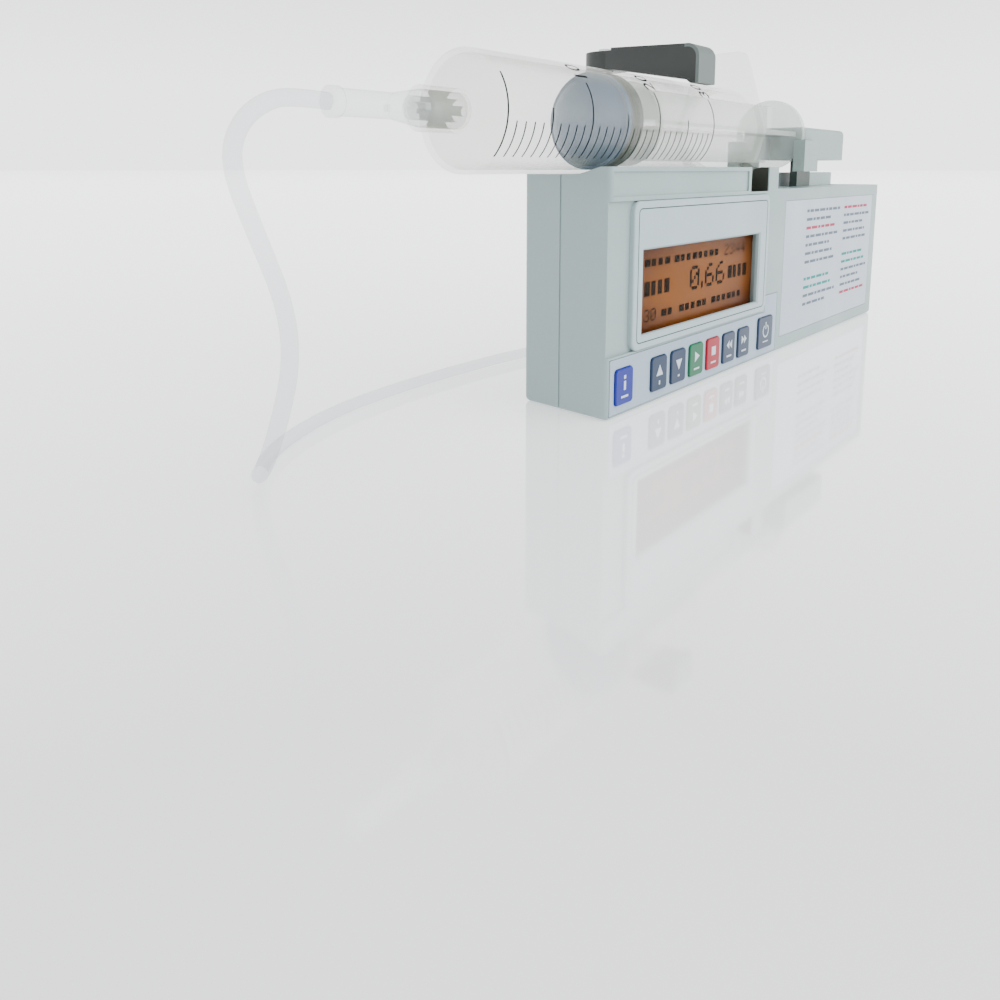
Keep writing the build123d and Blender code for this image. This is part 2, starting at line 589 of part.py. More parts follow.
# ==== keys =================================================================================
def make_key(name, place, up, width, height):
    """One key: the cap, its body through the wall and the flange that keeps it in."""
    flange_face = WALL + KEY_GAP
    with BuildPart() as key:
        with BuildSketch(facing_front(flange_face)) as cap:
            with Locations((along(place), up)):
                RectangleRounded(width, height, KEY_CORNER)
        extrude(cap.sketch, amount=flange_face + KEY_PROUD)
        fillet(key.faces().sort_by(Axis.Y)[0].edges(), KEY_PROUD * 0.6)
        with BuildSketch(facing_front(flange_face)) as flange:
            with Locations((along(place), up)):
                Rectangle(width + 2 * KEY_FLANGE, height + 2 * KEY_FLANGE)
        extrude(flange.sketch, amount=-KEY_FLANGE_THICKNESS)
    finish(key, name)


for key_name, key_place in KEYS.items():
    make_key(key_name, *key_place)

key_back_face = WALL + KEY_GAP + KEY_FLANGE_THICKNESS
dome_top = key_back_face + KEY_TRAVEL + DOME_CLEARANCE
board_face = dome_top + DOME_HEIGHT

with BuildPart() as dome_contacts:
    for place, up, width, height in KEYS.values():
        with BuildSketch(facing_front(board_face)) as dome:
            with Locations((along(place), up)):
                Circle(DOME_RADIUS)
        extrude(dome.sketch, amount=DOME_HEIGHT, taper=45)

with BuildPart() as keypad_board:
    with BuildSketch(facing_front(board_face)) as board_outline:
        board_middle = (KEYPAD_BOARD_BOTTOM + KEYPAD_BOARD_TOP) / 2
        with Locations((along((PANEL_LEFT + WALL + PANEL_RIGHT) / 2), board_middle)):
            Rectangle(PANEL_RIGHT - PANEL_LEFT - WALL - 1, KEYPAD_BOARD_TOP - KEYPAD_BOARD_BOTTOM)
        for place, up in SCREWS:
            with Locations((along(place), up)):
                Circle(BOSS_RADIUS + FIT, mode=Mode.SUBTRACT)
    extrude(board_outline.sketch, amount=-BOARD_THICKNESS)

with BuildPart() as main_board:
    block((MAIN_LEFT, MAIN_RIGHT), (MAIN_FACE, MAIN_FACE + BOARD_THICKNESS), (MAIN_BOTTOM, MAIN_TOP))

chip_face = MAIN_FACE + BOARD_THICKNESS
with BuildPart() as board_chips:
    for place, up, width, height, thickness in CHIPS:
        block(
            (place, place + width),
            (chip_face, chip_face + thickness),
            (up, up + height),
        )

with BuildPart() as buzzer:
    with BuildSketch(facing_front(chip_face)) as can:
        with Locations((along(BUZZER_ALONG), BUZZER_UP)):
            Circle(BUZZER_RADIUS)
    extrude(can.sketch, amount=-BUZZER_HEIGHT)
    with BuildSketch(facing_front(chip_face + BUZZER_HEIGHT)) as sound_hole:
        with Locations((along(BUZZER_ALONG), BUZZER_UP)):
            Circle(BUZZER_RADIUS / 4)
    extrude(sound_hole.sketch, amount=BUZZER_HEIGHT / 3, mode=Mode.SUBTRACT)

with BuildPart() as case_screws:
    for place, up in SCREWS:
        with BuildSketch(facing_front(CASE_DEPTH)) as head:
            with Locations((along(place), up)):
                Circle(SCREW_HEAD_RADIUS)
        extrude(head.sketch, amount=SCREW_HEAD_HEIGHT)
        with BuildSketch(facing_front(CASE_DEPTH - SCREW_HEAD_HEIGHT)) as shank:
            with Locations((along(place), up)):
                Circle(SCREW_RADIUS)
        extrude(shank.sketch, amount=SCREW_LENGTH)
        with BuildSketch(facing_front(CASE_DEPTH)) as drive:
            with Locations((along(place), up)):
                RegularPolygon(SCREW_HEAD_RADIUS * 0.5, 6)
        extrude(drive.sketch, amount=SCREW_HEAD_HEIGHT * 0.6, mode=Mode.SUBTRACT)


# ==== drive ================================================================================


def make_gear(name, teeth, up, bore, turn=0.0):
    """A spur gear across the case on an axis in the parting plane, turned by some degrees."""
    tip = GEAR_MODULE * (teeth / 2 + 0.85)
    root = GEAR_MODULE * (teeth / 2 - 1.15)
    pitch_angle = 360 / teeth
    with BuildPart() as gear:
        with BuildSketch(axis_plane(GEAR_START, up)) as outline:
            Circle(root)
            for tooth in range(teeth):
                middle = turn + tooth * pitch_angle
                corners = (
                    (root * 0.9, middle - pitch_angle * 0.27),
                    (tip, middle - pitch_angle * 0.12),
                    (tip, middle + pitch_angle * 0.12),
                    (root * 0.9, middle + pitch_angle * 0.27),
                )
                with BuildLine():
                    Polyline(
                        *[(r * cos(radians(a)), r * sin(radians(a))) for r, a in corners],
                        close=True,
                    )
                make_face()
            Circle(bore, mode=Mode.SUBTRACT)
        extrude(outline.sketch, amount=GEAR_WIDTH)
    finish(gear, name)


# Each lower gear has a gap where the gear above it points a tooth straight down, or the reverse.
make_gear("screw_gear", SCREW_TEETH, SCREW_AXIS_UP, JOURNAL_RADIUS, turn=-90)
make_gear("idler_gear", IDLER_TEETH, idler_up, IDLER_PIN_RADIUS + RUNNING, turn=90 + 180 / IDLER_TEETH)
make_gear("drive_pinion", PINION_TEETH, pinion_up, OUTPUT_RADIUS, turn=90)

lead_start = plate_left_end + BUSH_FLANGE + 0.3
lead_end = PLATE_RIGHT - BUSH_FLANGE - 0.3


with BuildPart() as lead_screw:
    threads = int((lead_end - lead_start) / LEAD_PITCH)
    with BuildSketch(lengthwise_plane(lead_start, SCREW_AXIS_UP)) as thread:
        with BuildLine():
            crests = [(0, 0), (0, LEAD_ROOT_RADIUS)]
            for turn in range(threads):
                crests.append(((turn + 0.3) * LEAD_PITCH, LEAD_RADIUS))
                crests.append(((turn + 0.6) * LEAD_PITCH, LEAD_RADIUS))
                crests.append(((turn + 0.9) * LEAD_PITCH, LEAD_ROOT_RADIUS))
            crests.append((lead_end - lead_start, LEAD_ROOT_RADIUS))
            crests.append((lead_end - lead_start, 0))
            Polyline(*crests, close=True)
        make_face()
    revolve(thread.sketch, axis=Axis((along(lead_start), deep(PARTING_DEPTH), SCREW_AXIS_UP), (1, 0, 0)))
    round_bar(ENCODER_START - 0.3, lead_start, JOURNAL_RADIUS, SCREW_AXIS_UP)
    round_bar(lead_end, plate_right_end + 0.4, JOURNAL_RADIUS, SCREW_AXIS_UP)

with BuildPart() as encoder_disc:
    with BuildSketch(axis_plane(ENCODER_START, SCREW_AXIS_UP)) as disc:
        Circle(ENCODER_RADIUS)
        Circle(JOURNAL_RADIUS, mode=Mode.SUBTRACT)
        with PolarLocations(ENCODER_RADIUS * 0.78, ENCODER_SLOTS):
            Rectangle(ENCODER_RADIUS * 0.3, ENCODER_RADIUS * 0.16, mode=Mode.SUBTRACT)
    extrude(disc.sketch, amount=ENCODER_THICKNESS)


def make_bush(name, plate, flange_place):
    """A flanged bush in a chassis plate: the screw's journal runs in it."""
    with BuildPart() as bush:
        round_bar(plate, plate + PLATE_THICKNESS, BUSH_RADIUS, SCREW_AXIS_UP)
        round_bar(flange_place, flange_place + BUSH_FLANGE, BUSH_FLANGE_RADIUS, SCREW_AXIS_UP)
        bore = JOURNAL_RADIUS + RUNNING
        round_bar(plate - 1, plate + PLATE_THICKNESS + 1, bore, SCREW_AXIS_UP, mode=Mode.SUBTRACT)
    finish(bush, name)


make_bush("left_bush", PLATE_LEFT, plate_left_end)
make_bush("right_bush", PLATE_RIGHT, PLATE_RIGHT - BUSH_FLANGE)

with BuildPart() as drive_chassis:
    span = (PLATE_FRONT, PLATE_BACK)
    block((PLATE_LEFT, plate_left_end), span, (CHASSIS_BOTTOM, CHASSIS_TOP))
    block((PLATE_RIGHT, plate_right_end), span, (RIGHT_PLATE_BOTTOM, CHASSIS_TOP))
    rail = (PLATE_BACK - RAIL_THICKNESS, PLATE_BACK)
    block((plate_left_end, PLATE_RIGHT), rail, (RAIL_BOTTOM, CHASSIS_TOP))
    for plate in (PLATE_LEFT, PLATE_RIGHT):
        end = plate + PLATE_THICKNESS
        round_bar(plate, end, BUSH_RADIUS, SCREW_AXIS_UP, mode=Mode.SUBTRACT)
        round_bar(plate, end, ROD_RADIUS, SCREW_AXIS_UP, ROD_DEPTH, mode=Mode.SUBTRACT)
    round_bar(PLATE_LEFT, plate_left_end, IDLER_PIN_RADIUS, idler_up, mode=Mode.SUBTRACT)
    round_bar(PLATE_LEFT, plate_left_end, OUTPUT_RADIUS + 1.0, pinion_up, mode=Mode.SUBTRACT)

with BuildPart() as guide_rod:
    round_bar(PLATE_LEFT, plate_right_end, ROD_RADIUS, SCREW_AXIS_UP, ROD_DEPTH)
    chamfer(guide_rod.edges().filter_by(GeomType.CIRCLE), 0.2)

with BuildPart() as idler_pin:
    round_bar(GEAR_START - 0.6, plate_left_end, IDLER_PIN_RADIUS, idler_up)

with BuildPart() as output_shaft:
    round_bar(GEAR_START - 0.4, plate_left_end, OUTPUT_RADIUS, pinion_up)

with BuildPart() as gear_motor:
    round_bar(plate_left_end, gearbox_end, GEARBOX_RADIUS, pinion_up)
    round_bar(gearbox_end, gearbox_end + MOTOR_LENGTH, MOTOR_RADIUS, pinion_up)
    chamfer(gear_motor.edges().filter_by(GeomType.CIRCLE).sort_by(Axis.X)[-1], 0.8)

carriage_end = CARRIAGE_START + CARRIAGE_LENGTH
with BuildPart() as screw_carriage:
    nut_depth = (CARRIAGE_FRONT, CARRIAGE_BACK)
    block((CARRIAGE_START, carriage_end), nut_depth, (CARRIAGE_BOTTOM, CARRIAGE_TOP))
    neck_depth = (PARTING_DEPTH - NECK_THICKNESS / 2, PARTING_DEPTH + NECK_THICKNESS / 2)
    block((NECK_START, NECK_START + NECK_LENGTH), neck_depth, (CARRIAGE_TOP, ACTUATOR_BOTTOM))
    through = (CARRIAGE_START - 1, carriage_end + 1)
    round_bar(*through, LEAD_RADIUS + RUNNING, SCREW_AXIS_UP, mode=Mode.SUBTRACT)
    round_bar(*through, ROD_RADIUS + RUNNING, SCREW_AXIS_UP, ROD_DEPTH, mode=Mode.SUBTRACT)


# ==== actuator =============================================================================
actuator_end = ACTUATOR_LEFT + ACTUATOR_LENGTH
pin_along = ACTUATOR_LEFT + CLAMP_PIN_INSET
clamp_lug = (pin_along - CLAMP_HUB_RADIUS - 0.4, pin_along + CLAMP_HUB_RADIUS + 0.4)
front_pin_depth = ACTUATOR_FRONT + CLAMP_PIN_DEPTH
back_pin_depth = ACTUATOR_BACK - CLAMP_PIN_DEPTH

with BuildPart() as actuator_housing:
    block((ACTUATOR_LEFT, actuator_end), (ACTUATOR_FRONT, ACTUATOR_BACK), (ACTUATOR_BOTTOM, ACTUATOR_TOP))
    top_edges = actuator_housing.faces().sort_by(Axis.Z)[-1].edges()
    fillet(actuator_housing.edges().filter_by(Axis.Z) + top_edges, ACTUATOR_CORNER)
    for depth in (front_pin_depth, back_pin_depth):
        notch = (ACTUATOR_LEFT - 1, clamp_lug[1])
        reach = CLAMP_HUB_RADIUS + 0.4
        block(notch, (depth - reach, depth + reach), (ACTUATOR_BOTTOM - 1, CLAMP_TOP + 0.3), Mode.SUBTRACT)
        with Locations((along(pin_along), deep(depth), CLAMP_TOP)):
            Cylinder(CLAMP_PIN_RADIUS, 6.0, mode=Mode.SUBTRACT)
    well_end = ACTUATOR_LEFT + 0.5 * SENSOR_PROUD + 3.0
    round_bar(ACTUATOR_LEFT, well_end, SENSOR_RADIUS + RUNNING, SENSOR_UP, mode=Mode.SUBTRACT)

with BuildPart() as clamp_pins:
    for depth in (front_pin_depth, back_pin_depth):
        with Locations((along(pin_along), deep(depth), CLAMP_BOTTOM)):
            Cylinder(
                CLAMP_PIN_RADIUS,
                CLAMP_TOP + 3.0 - CLAMP_BOTTOM,
                align=(Align.CENTER, Align.CENTER, Align.MIN),
            )

thumb_end = ACTUATOR_LEFT - THUMB_GAP - SENSOR_PROUD * 0.5
thumb_start = thumb_end - THUMB_THICKNESS


def make_clamp(name, pin_depth, side):
    """A plunger clamp: a hub on its pin, a finger and the hook round the plunger's disc.

    side is -1 for the clamp at the front and 1 for the one at the back.
    """
    outside = pin_depth + side * (CLAMP_PIN_DEPTH + CLAMP_OUT)
    inside = outside - side * CLAMP_THICKNESS
    hook_end = thumb_start - 0.3
    hook_start = hook_end - CLAMP_THICKNESS
    with BuildPart() as clamp:
        with BuildSketch(Plane.XY.offset(CLAMP_BOTTOM)) as shape:
            with Locations((along(pin_along), deep(pin_depth))):
                Circle(CLAMP_HUB_RADIUS)
            with BuildLine():
                Polyline(
                    (along(pin_along + CLAMP_HUB_RADIUS), deep(pin_depth)),
                    (along(pin_along + CLAMP_HUB_RADIUS - 1.2), deep(outside)),
                    (along(hook_start), deep(outside)),
                    (along(hook_start), deep(outside - side * CLAMP_HOOK)),
                    (along(hook_end), deep(outside - side * CLAMP_HOOK)),
                    (along(hook_end), deep(inside)),
                    (along(pin_along - CLAMP_HUB_RADIUS - 0.8), deep(inside)),
                    (along(pin_along - CLAMP_HUB_RADIUS), deep(pin_depth)),
                    close=True,
                )
            make_face()
            with Locations((along(pin_along), deep(pin_depth))):
                Circle(CLAMP_PIN_RADIUS + RUNNING, mode=Mode.SUBTRACT)
        extrude(shape.sketch, amount=CLAMP_TOP - CLAMP_BOTTOM)
    finish(clamp, name)


make_clamp("front_plunger_clamp", front_pin_depth, -1)
make_clamp("rear_plunger_clamp", back_pin_depth, 1)

with BuildPart() as plunger_sensor:
    round_bar(ACTUATOR_LEFT - SENSOR_PROUD * 0.5, ACTUATOR_LEFT + 2.0, SENSOR_RADIUS, SENSOR_UP)
    fillet(plunger_sensor.edges().filter_by(GeomType.CIRCLE).sort_by(Axis.X)[0], 0.3)

with BuildPart() as collar_sensor:
    button = (SLOT_END - COLLAR_BUTTON_PROUD, SLOT_END + 2.2)
    round_bar(*button, COLLAR_BUTTON_RADIUS, COLLAR_BUTTON_UP, COLLAR_BUTTON_DEPTH)
    fillet(collar_sensor.edges().filter_by(GeomType.CIRCLE).sort_by(Axis.X)[0], 0.4)


# ==== syringe ==============================================================================
with BuildPart() as syringe_barrel:
    round_bar(BARREL_START, BARREL_END, BARREL_RADIUS, SYRINGE_UP)
    chamfer(syringe_barrel.edges().filter_by(GeomType.CIRCLE).sort_by(Axis.X)[0], 0.5)
    with BuildSketch(axis_plane(BARREL_END - FLANGE_THICKNESS)) as flange:
        with BuildLine():
            FilletPolyline(
                (-FLANGE_TIP_WIDTH, -FLANGE_HALF_HEIGHT),
                (FLANGE_TIP_WIDTH, -FLANGE_HALF_HEIGHT),
                (FLANGE_HALF_WIDTH, 0),
                (FLANGE_TIP_WIDTH, FLANGE_HALF_HEIGHT),
                (-FLANGE_TIP_WIDTH, FLANGE_HALF_HEIGHT),
                (-FLANGE_HALF_WIDTH, 0),
                radius=2.4,
                close=True,
            )
        make_face()
    extrude(flange.sketch, amount=FLANGE_THICKNESS)
    round_bar(BARREL_START + 1.4, BARREL_END, BORE_RADIUS, SYRINGE_UP, mode=Mode.SUBTRACT)
    round_bar(BARREL_START - COLLAR_LENGTH, BARREL_START, COLLAR_RADIUS, SYRINGE_UP)
    round_bar(BARREL_START - COLLAR_LENGTH, BARREL_START, COLLAR_BORE, SYRINGE_UP, mode=Mode.SUBTRACT)
    round_bar(BARREL_START - NOZZLE_LENGTH, BARREL_START, NOZZLE_RADIUS, SYRINGE_UP)
    outlet = (BARREL_START - NOZZLE_LENGTH - 1, BARREL_START + 2)
    round_bar(*outlet, NOZZLE_BORE, SYRINGE_UP, mode=Mode.SUBTRACT)

with BuildPart() as stopper:
    seal = BORE_RADIUS - STOPPER_GAP
    neck_radius = seal - 0.7
    stopper_end = STOPPER_RING + STOPPER_LENGTH
    with BuildSketch(lengthwise_plane(STOPPER_RING, SYRINGE_UP)) as half:
        with BuildLine():
            Polyline(
                (0.2, neck_radius),
                (0.2, seal),
                (1.5, seal),
                (1.9, neck_radius),
                (STOPPER_LENGTH - 1.9, neck_radius),
                (STOPPER_LENGTH - 1.5, seal),
                (STOPPER_LENGTH, seal),
                (STOPPER_LENGTH, 0),
                (-STOPPER_DOME, 0),
            )
            ThreePointArc(
                (-STOPPER_DOME, 0),
                (-STOPPER_DOME * 0.72, neck_radius * 0.56),
                (0.2, neck_radius),
            )
        make_face()
    revolve(half.sketch, axis=Axis((along(STOPPER_RING), deep(PARTING_DEPTH), SYRINGE_UP), (1, 0, 0)))

with BuildPart() as plunger_rod:
    round_bar(stopper_end, stopper_end + 1.6, ROD_DISC_RADIUS, SYRINGE_UP)
    round_bar(thumb_start, thumb_end, THUMB_RADIUS, SYRINGE_UP)
    with BuildSketch(axis_plane(stopper_end + 1.6)) as ribs:
        Rectangle(ROD_RIB, 2 * ROD_RIB_RADIUS)
        Rectangle(2 * ROD_RIB_RADIUS, ROD_RIB)
    extrude(ribs.sketch, amount=thumb_start - stopper_end - 1.6)
    round_bar(stopper_end + 8.0, stopper_end + 9.4, ROD_DISC_RADIUS, SYRINGE_UP)

with BuildPart() as line_connector:
    hub_start = BARREL_START - COLLAR_LENGTH
    round_bar(CONNECTOR_END, hub_start - 5.0, 2.2, SYRINGE_UP)
    round_bar(CONNECTOR_END, CONNECTOR_END + 1.6, 2.5, SYRINGE_UP)
    with BuildSketch(axis_plane(hub_start - 5.0)) as hub_small:
        Circle(2.4)
    with BuildSketch(axis_plane(hub_start - 0.3)) as hub_large:
        Circle(3.2)
    loft([hub_small.sketch, hub_large.sketch])
    round_bar(hub_start - 0.3, BARREL_START - 1.0, COLLAR_BORE - RUNNING, SYRINGE_UP)
    round_bar(hub_start - 2.0, BARREL_START, NOZZLE_RADIUS + RUNNING, SYRINGE_UP, mode=Mode.SUBTRACT)
    for ear in ((PARTING_DEPTH - 4.4, PARTING_DEPTH - 2.2), (PARTING_DEPTH + 2.2, PARTING_DEPTH + 4.4)):
        block((hub_start - 4.2, hub_start - 1.2), ear, (SYRINGE_UP - 0.6, SYRINGE_UP + 0.6))

# ==== clamp arm ============================================================================
arm_side = ARM_MIDDLE - ARM_WIDTH / 2
cap_back = ARM_FRONT + ARM_CAP_THICKNESS
cap_under = ARM_TOP - ARM_CAP_THICKNESS
arm_rear = POST_DEPTH - HUB_RADIUS + 0.4
hub_top = ARM_TOP_BACK - HUB_STEP


def under_height(depth):
    """Height of the arm's sloping underside at a depth."""
    share = (depth - cap_back) / (POST_DEPTH - cap_back)
    return ARM_UNDER_FRONT + share * (ARM_UNDER_BACK - ARM_UNDER_FRONT)


with BuildPart() as arm_end_cap:
    with BuildSketch(facing_end(arm_side)) as cap_profile:
        with BuildLine():
            cap_outside = FilletPolyline(
                (ARM_CAP_REACH, ARM_TOP),
                (ARM_FRONT, ARM_TOP),
                (ARM_FRONT, HOOK_BOTTOM),
                radius=ARM_NOSE_RADIUS,
            )
            cap_inside = FilletPolyline(
                (ARM_CAP_REACH, cap_under),
                (cap_back, cap_under),
                (cap_back, HOOK_BOTTOM),
                radius=ARM_NOSE_RADIUS - ARM_CAP_THICKNESS,
            )
            Line(cap_outside @ 0, cap_inside @ 0)
            Line(cap_outside @ 1, cap_inside @ 1)
        make_face()
    extrude(cap_profile.sketch, amount=ARM_WIDTH)

hub_bottom = under_height(arm_rear)
with BuildPart() as clamp_arm:
    with BuildSketch(facing_end(arm_side)) as arm_profile:
        hook_back = cap_back + ARM_HOOK_THICKNESS
        with BuildLine():
            nose = FilletPolyline(
                (ARM_CAP_REACH, cap_under),
                (cap_back, cap_under),
                (cap_back, HOOK_BOTTOM),
                radius=ARM_NOSE_RADIUS - ARM_CAP_THICKNESS,
            )
            Polyline(
                nose @ 1,
                (hook_back, HOOK_BOTTOM),
                (hook_back + 1.2, under_height(hook_back + 1.2)),
                (arm_rear, hub_bottom),
                (arm_rear, ARM_TOP_BACK),
                (ARM_CAP_REACH, ARM_TOP),
                nose @ 0,
            )
        make_face()
    extrude(arm_profile.sketch, amount=ARM_WIDTH)
    with BuildSketch(Plane.XY.offset(hub_bottom)) as hub:
        with Locations((along(ARM_MIDDLE), deep(POST_DEPTH))):
            Circle(HUB_RADIUS)
        with Locations((along(ARM_MIDDLE), deep((arm_rear + POST_DEPTH) / 2))):
            Rectangle(ARM_WIDTH, POST_DEPTH - arm_rear)
    extrude(hub.sketch, amount=hub_top - hub_bottom)
    with Locations((along(ARM_MIDDLE), deep(POST_DEPTH), hub_bottom)):
        Cylinder(
            POST_ROD_RADIUS + RUNNING,
            POST_ENTRY,
            align=(Align.CENTER, Align.CENTER, Align.MIN),
            mode=Mode.SUBTRACT,
        )
        Cylinder(
            ARM_SCREW_RADIUS + RUNNING,
            ARM_TOP_BACK - hub_bottom,
            align=(Align.CENTER, Align.CENTER, Align.MIN),
            mode=Mode.SUBTRACT,
        )

post_top = hub_bottom + POST_ENTRY - 0.1
with BuildPart() as clamp_post:
    with Locations((along(ARM_MIDDLE), deep(POST_DEPTH), POST_FOOT_UP)):
        Cylinder(POST_ROD_RADIUS, post_top - POST_FOOT_UP, align=(Align.CENTER, Align.CENTER, Align.MIN))
        Cylinder(POST_FOOT_RADIUS, POST_FOOT_HEIGHT, align=(Align.CENTER, Align.CENTER, Align.MIN))
    with Locations((along(ARM_MIDDLE), deep(POST_DEPTH), post_top)):
        Cylinder(ARM_SCREW_RADIUS, 2 * ARM_SCREW_GRIP, mode=Mode.SUBTRACT)

screw_seat = hub_top + 0.05
with BuildPart() as arm_screw:
    with Locations((along(ARM_MIDDLE), deep(POST_DEPTH), screw_seat)):
        Cylinder(ARM_SCREW_HEAD, 0.9, align=(Align.CENTER, Align.CENTER, Align.MIN))
        Cylinder(
            ARM_SCREW_RADIUS,
            screw_seat - post_top + ARM_SCREW_GRIP - 0.2,
            align=(Align.CENTER, Align.CENTER, Align.MAX),
        )
    with BuildSketch(Plane.XY.offset(screw_seat + 0.9)) as screw_drive:
        with Locations((along(ARM_MIDDLE), deep(POST_DEPTH))):
            RegularPolygon(ARM_SCREW_RADIUS, 6)
    extrude(screw_drive.sketch, amount=-0.6, mode=Mode.SUBTRACT)

bush_bottom = REAR_HEIGHT + 0.6 - POST_BUSH_LENGTH
with BuildPart() as post_bush:
    with Locations((along(ARM_MIDDLE), deep(POST_DEPTH), bush_bottom)):
        Cylinder(CHAMBER_RADIUS, POST_BUSH_LENGTH, align=(Align.CENTER, Align.CENTER, Align.MIN))
        Cylinder(
            POST_ROD_RADIUS + RUNNING,
            POST_BUSH_LENGTH,
            align=(Align.CENTER, Align.CENTER, Align.MIN),
            mode=Mode.SUBTRACT,
        )

with BuildPart() as post_plug:
    with Locations((along(ARM_MIDDLE), deep(POST_DEPTH), TOWER_BOTTOM)):
        Cylinder(CHAMBER_RADIUS, PLUG_LENGTH, align=(Align.CENTER, Align.CENTER, Align.MIN))

with BuildPart() as clamp_spring:
    spring_bottom = POST_FOOT_UP + POST_FOOT_HEIGHT + SPRING_WIRE / 2 + 0.05
    spring_height = bush_bottom - spring_bottom - SPRING_WIRE / 2 - 0.05
    with BuildLine() as coil_line:
        Helix(
            pitch=spring_height / SPRING_TURNS,
            height=spring_height,
            radius=SPRING_RADIUS,
            center=(along(ARM_MIDDLE), deep(POST_DEPTH), spring_bottom),
        )
    with BuildSketch(Plane(coil_line.line @ 0, z_dir=coil_line.line % 0)):
        Circle(SPRING_WIRE / 2)
    sweep(is_frenet=True)


# ==== battery ==============================================================================
tray_inside_left = TRAY_LEFT + TRAY_WALL
contact_plate_end = tray_inside_left + 1.2
battery_end = TRAY_RIGHT - TRAY_WALL - 0.3
battery_start = battery_end - BATTERY_LENGTH
battery_bottom = (TRAY_BOTTOM + TRAY_TOP - BATTERY_HEIGHT) / 2
tray_front = WALL + 0.2

with BuildPart() as battery_tray:
    block((TRAY_LEFT, TRAY_RIGHT), (tray_front, CASE_DEPTH - WALL), (TRAY_BOTTOM, TRAY_TOP))
    block(
        (tray_inside_left, TRAY_RIGHT - TRAY_WALL),
        (tray_front + TRAY_WALL, CASE_DEPTH),
        (TRAY_BOTTOM + TRAY_WALL, TRAY_TOP - TRAY_WALL),
        Mode.SUBTRACT,
    )

battery_front = tray_front + TRAY_WALL + 0.1
battery_back = battery_front + BATTERY_THICKNESS
with BuildPart() as battery:
    block(
        (battery_start, battery_end),
        (battery_front, battery_back),
        (battery_bottom, battery_bottom + BATTERY_HEIGHT),
    )
    fillet(battery.edges().filter_by(Axis.X), 2.0)

terminal_plane = facing_end(
    battery_start,
    battery_bottom + BATTERY_HEIGHT / 2,
    (battery_front + battery_back) / 2,
)
with BuildPart() as battery_terminals:
    with BuildSketch(terminal_plane) as studs:
        with Locations((0, TERMINAL_SPACING / 2), (0, -TERMINAL_SPACING / 2)):
            Circle(TERMINAL_RADIUS)
    extrude(studs.sketch, amount=-TERMINAL_HEIGHT * 0.6)

with BuildPart() as battery_contacts:
    block(
        (tray_inside_left, contact_plate_end),
        (battery_front + 0.5, battery_back - 0.5),
        (battery_bottom + 0.5, battery_bottom + BATTERY_HEIGHT - 0.5),
    )

door_end = CASE_LENGTH - 0.2
with BuildPart() as battery_door:
    with BuildSketch(facing_end(DOOR_LEFT + DOOR_GAP)) as door_section:
        with BuildLine():
            inner_face = CASE_DEPTH - DOOR_THICKNESS
            slope = DOOR_BEVEL * DOOR_THICKNESS / (DOOR_THICKNESS + DOOR_GAP + 1)
            Polyline(
                (inner_face, DOOR_BOTTOM + DOOR_GAP),
                (CASE_DEPTH, DOOR_BOTTOM + DOOR_GAP + slope),
                (CASE_DEPTH, DOOR_TOP - DOOR_GAP - slope),
                (inner_face, DOOR_TOP - DOOR_GAP),
                close=True,
            )
        make_face()
    extrude(door_section.sketch, amount=door_end - DOOR_LEFT - DOOR_GAP)
    for groove in range(GRIP_COUNT):
        grip = DOOR_LEFT + 8 + 2.2 * groove
        block(
            (grip, grip + 1.0),
            (CASE_DEPTH - 0.5, CASE_DEPTH + 1),
            (DOOR_BOTTOM + 9, DOOR_TOP - 9),
            Mode.SUBTRACT,
        )

# ==== infusion line ========================================================================
route = [Vector(along(x), deep(y), z) for x, y, z in LINE_ROUTE]


def bend_radius(before, corner, after):
    """Radius of the arc at a corner: as large as its two runs allow."""
    turn = (corner - before).get_angle(after - corner)
    shorter = min((corner - before).length, (after - corner).length)
    return 0.45 * shorter / tan(radians(turn) / 2)


radii = [bend_radius(*route[i : i + 3]) for i in range(len(route) - 2)]
print("line radii in diameters:", [round(r / (2 * LINE_RADIUS), 1) for r in radii])
with BuildPart() as infusion_line:
    with BuildLine() as line_path:
        FilletPolyline(*route, radius=radii)
    with BuildSketch(Plane(line_path.line @ 0, z_dir=line_path.line % 0)):
        Circle(LINE_RADIUS)
    sweep()
line_length = sum(edge.length for edge in line_path.edges())
swept = pi * LINE_RADIUS**2 * line_length
print("line length", round(line_length, 1), "volume share", round(infusion_line.part.volume / swept, 4))

with BuildPart() as line_coil:
    with Locations((along(COIL_ALONG), deep(COIL_DEPTH), 0)):
        Cylinder(COIL_RADIUS + COIL_SPAN / 2, COIL_SPAN, align=(Align.CENTER, Align.CENTER, Align.MIN))
        Cylinder(
            COIL_RADIUS - COIL_SPAN / 2,
            COIL_SPAN,
            align=(Align.CENTER, Align.CENTER, Align.MIN),
            mode=Mode.SUBTRACT,
        )

tail_depth = COIL_DEPTH + OUTER_TURN
tail_start = COIL_ALONG - 7.5
with BuildPart() as line_end_connector:
    collar = tail_start - 23
    lying = (END_COLLAR_RADIUS, tail_depth)
    round_bar(tail_start - 8, tail_start, END_HUB_RADIUS, *lying)
    round_bar(tail_start - 13, tail_start - 6, END_GRIP_RADIUS, *lying)
    round_bar(collar, tail_start - 13, END_COLLAR_RADIUS, *lying)
    round_bar(collar, collar + 8, END_COLLAR_RADIUS - 0.7, *lying, Mode.SUBTRACT)
    round_bar(collar - 0.6, collar + 9, NOZZLE_RADIUS, *lying)
    for grip in range(3):
        place = tail_start - 7.5 - 1.8 * grip
        round_bar(place - 0.7, place, END_GRIP_RADIUS + 0.25, *lying)

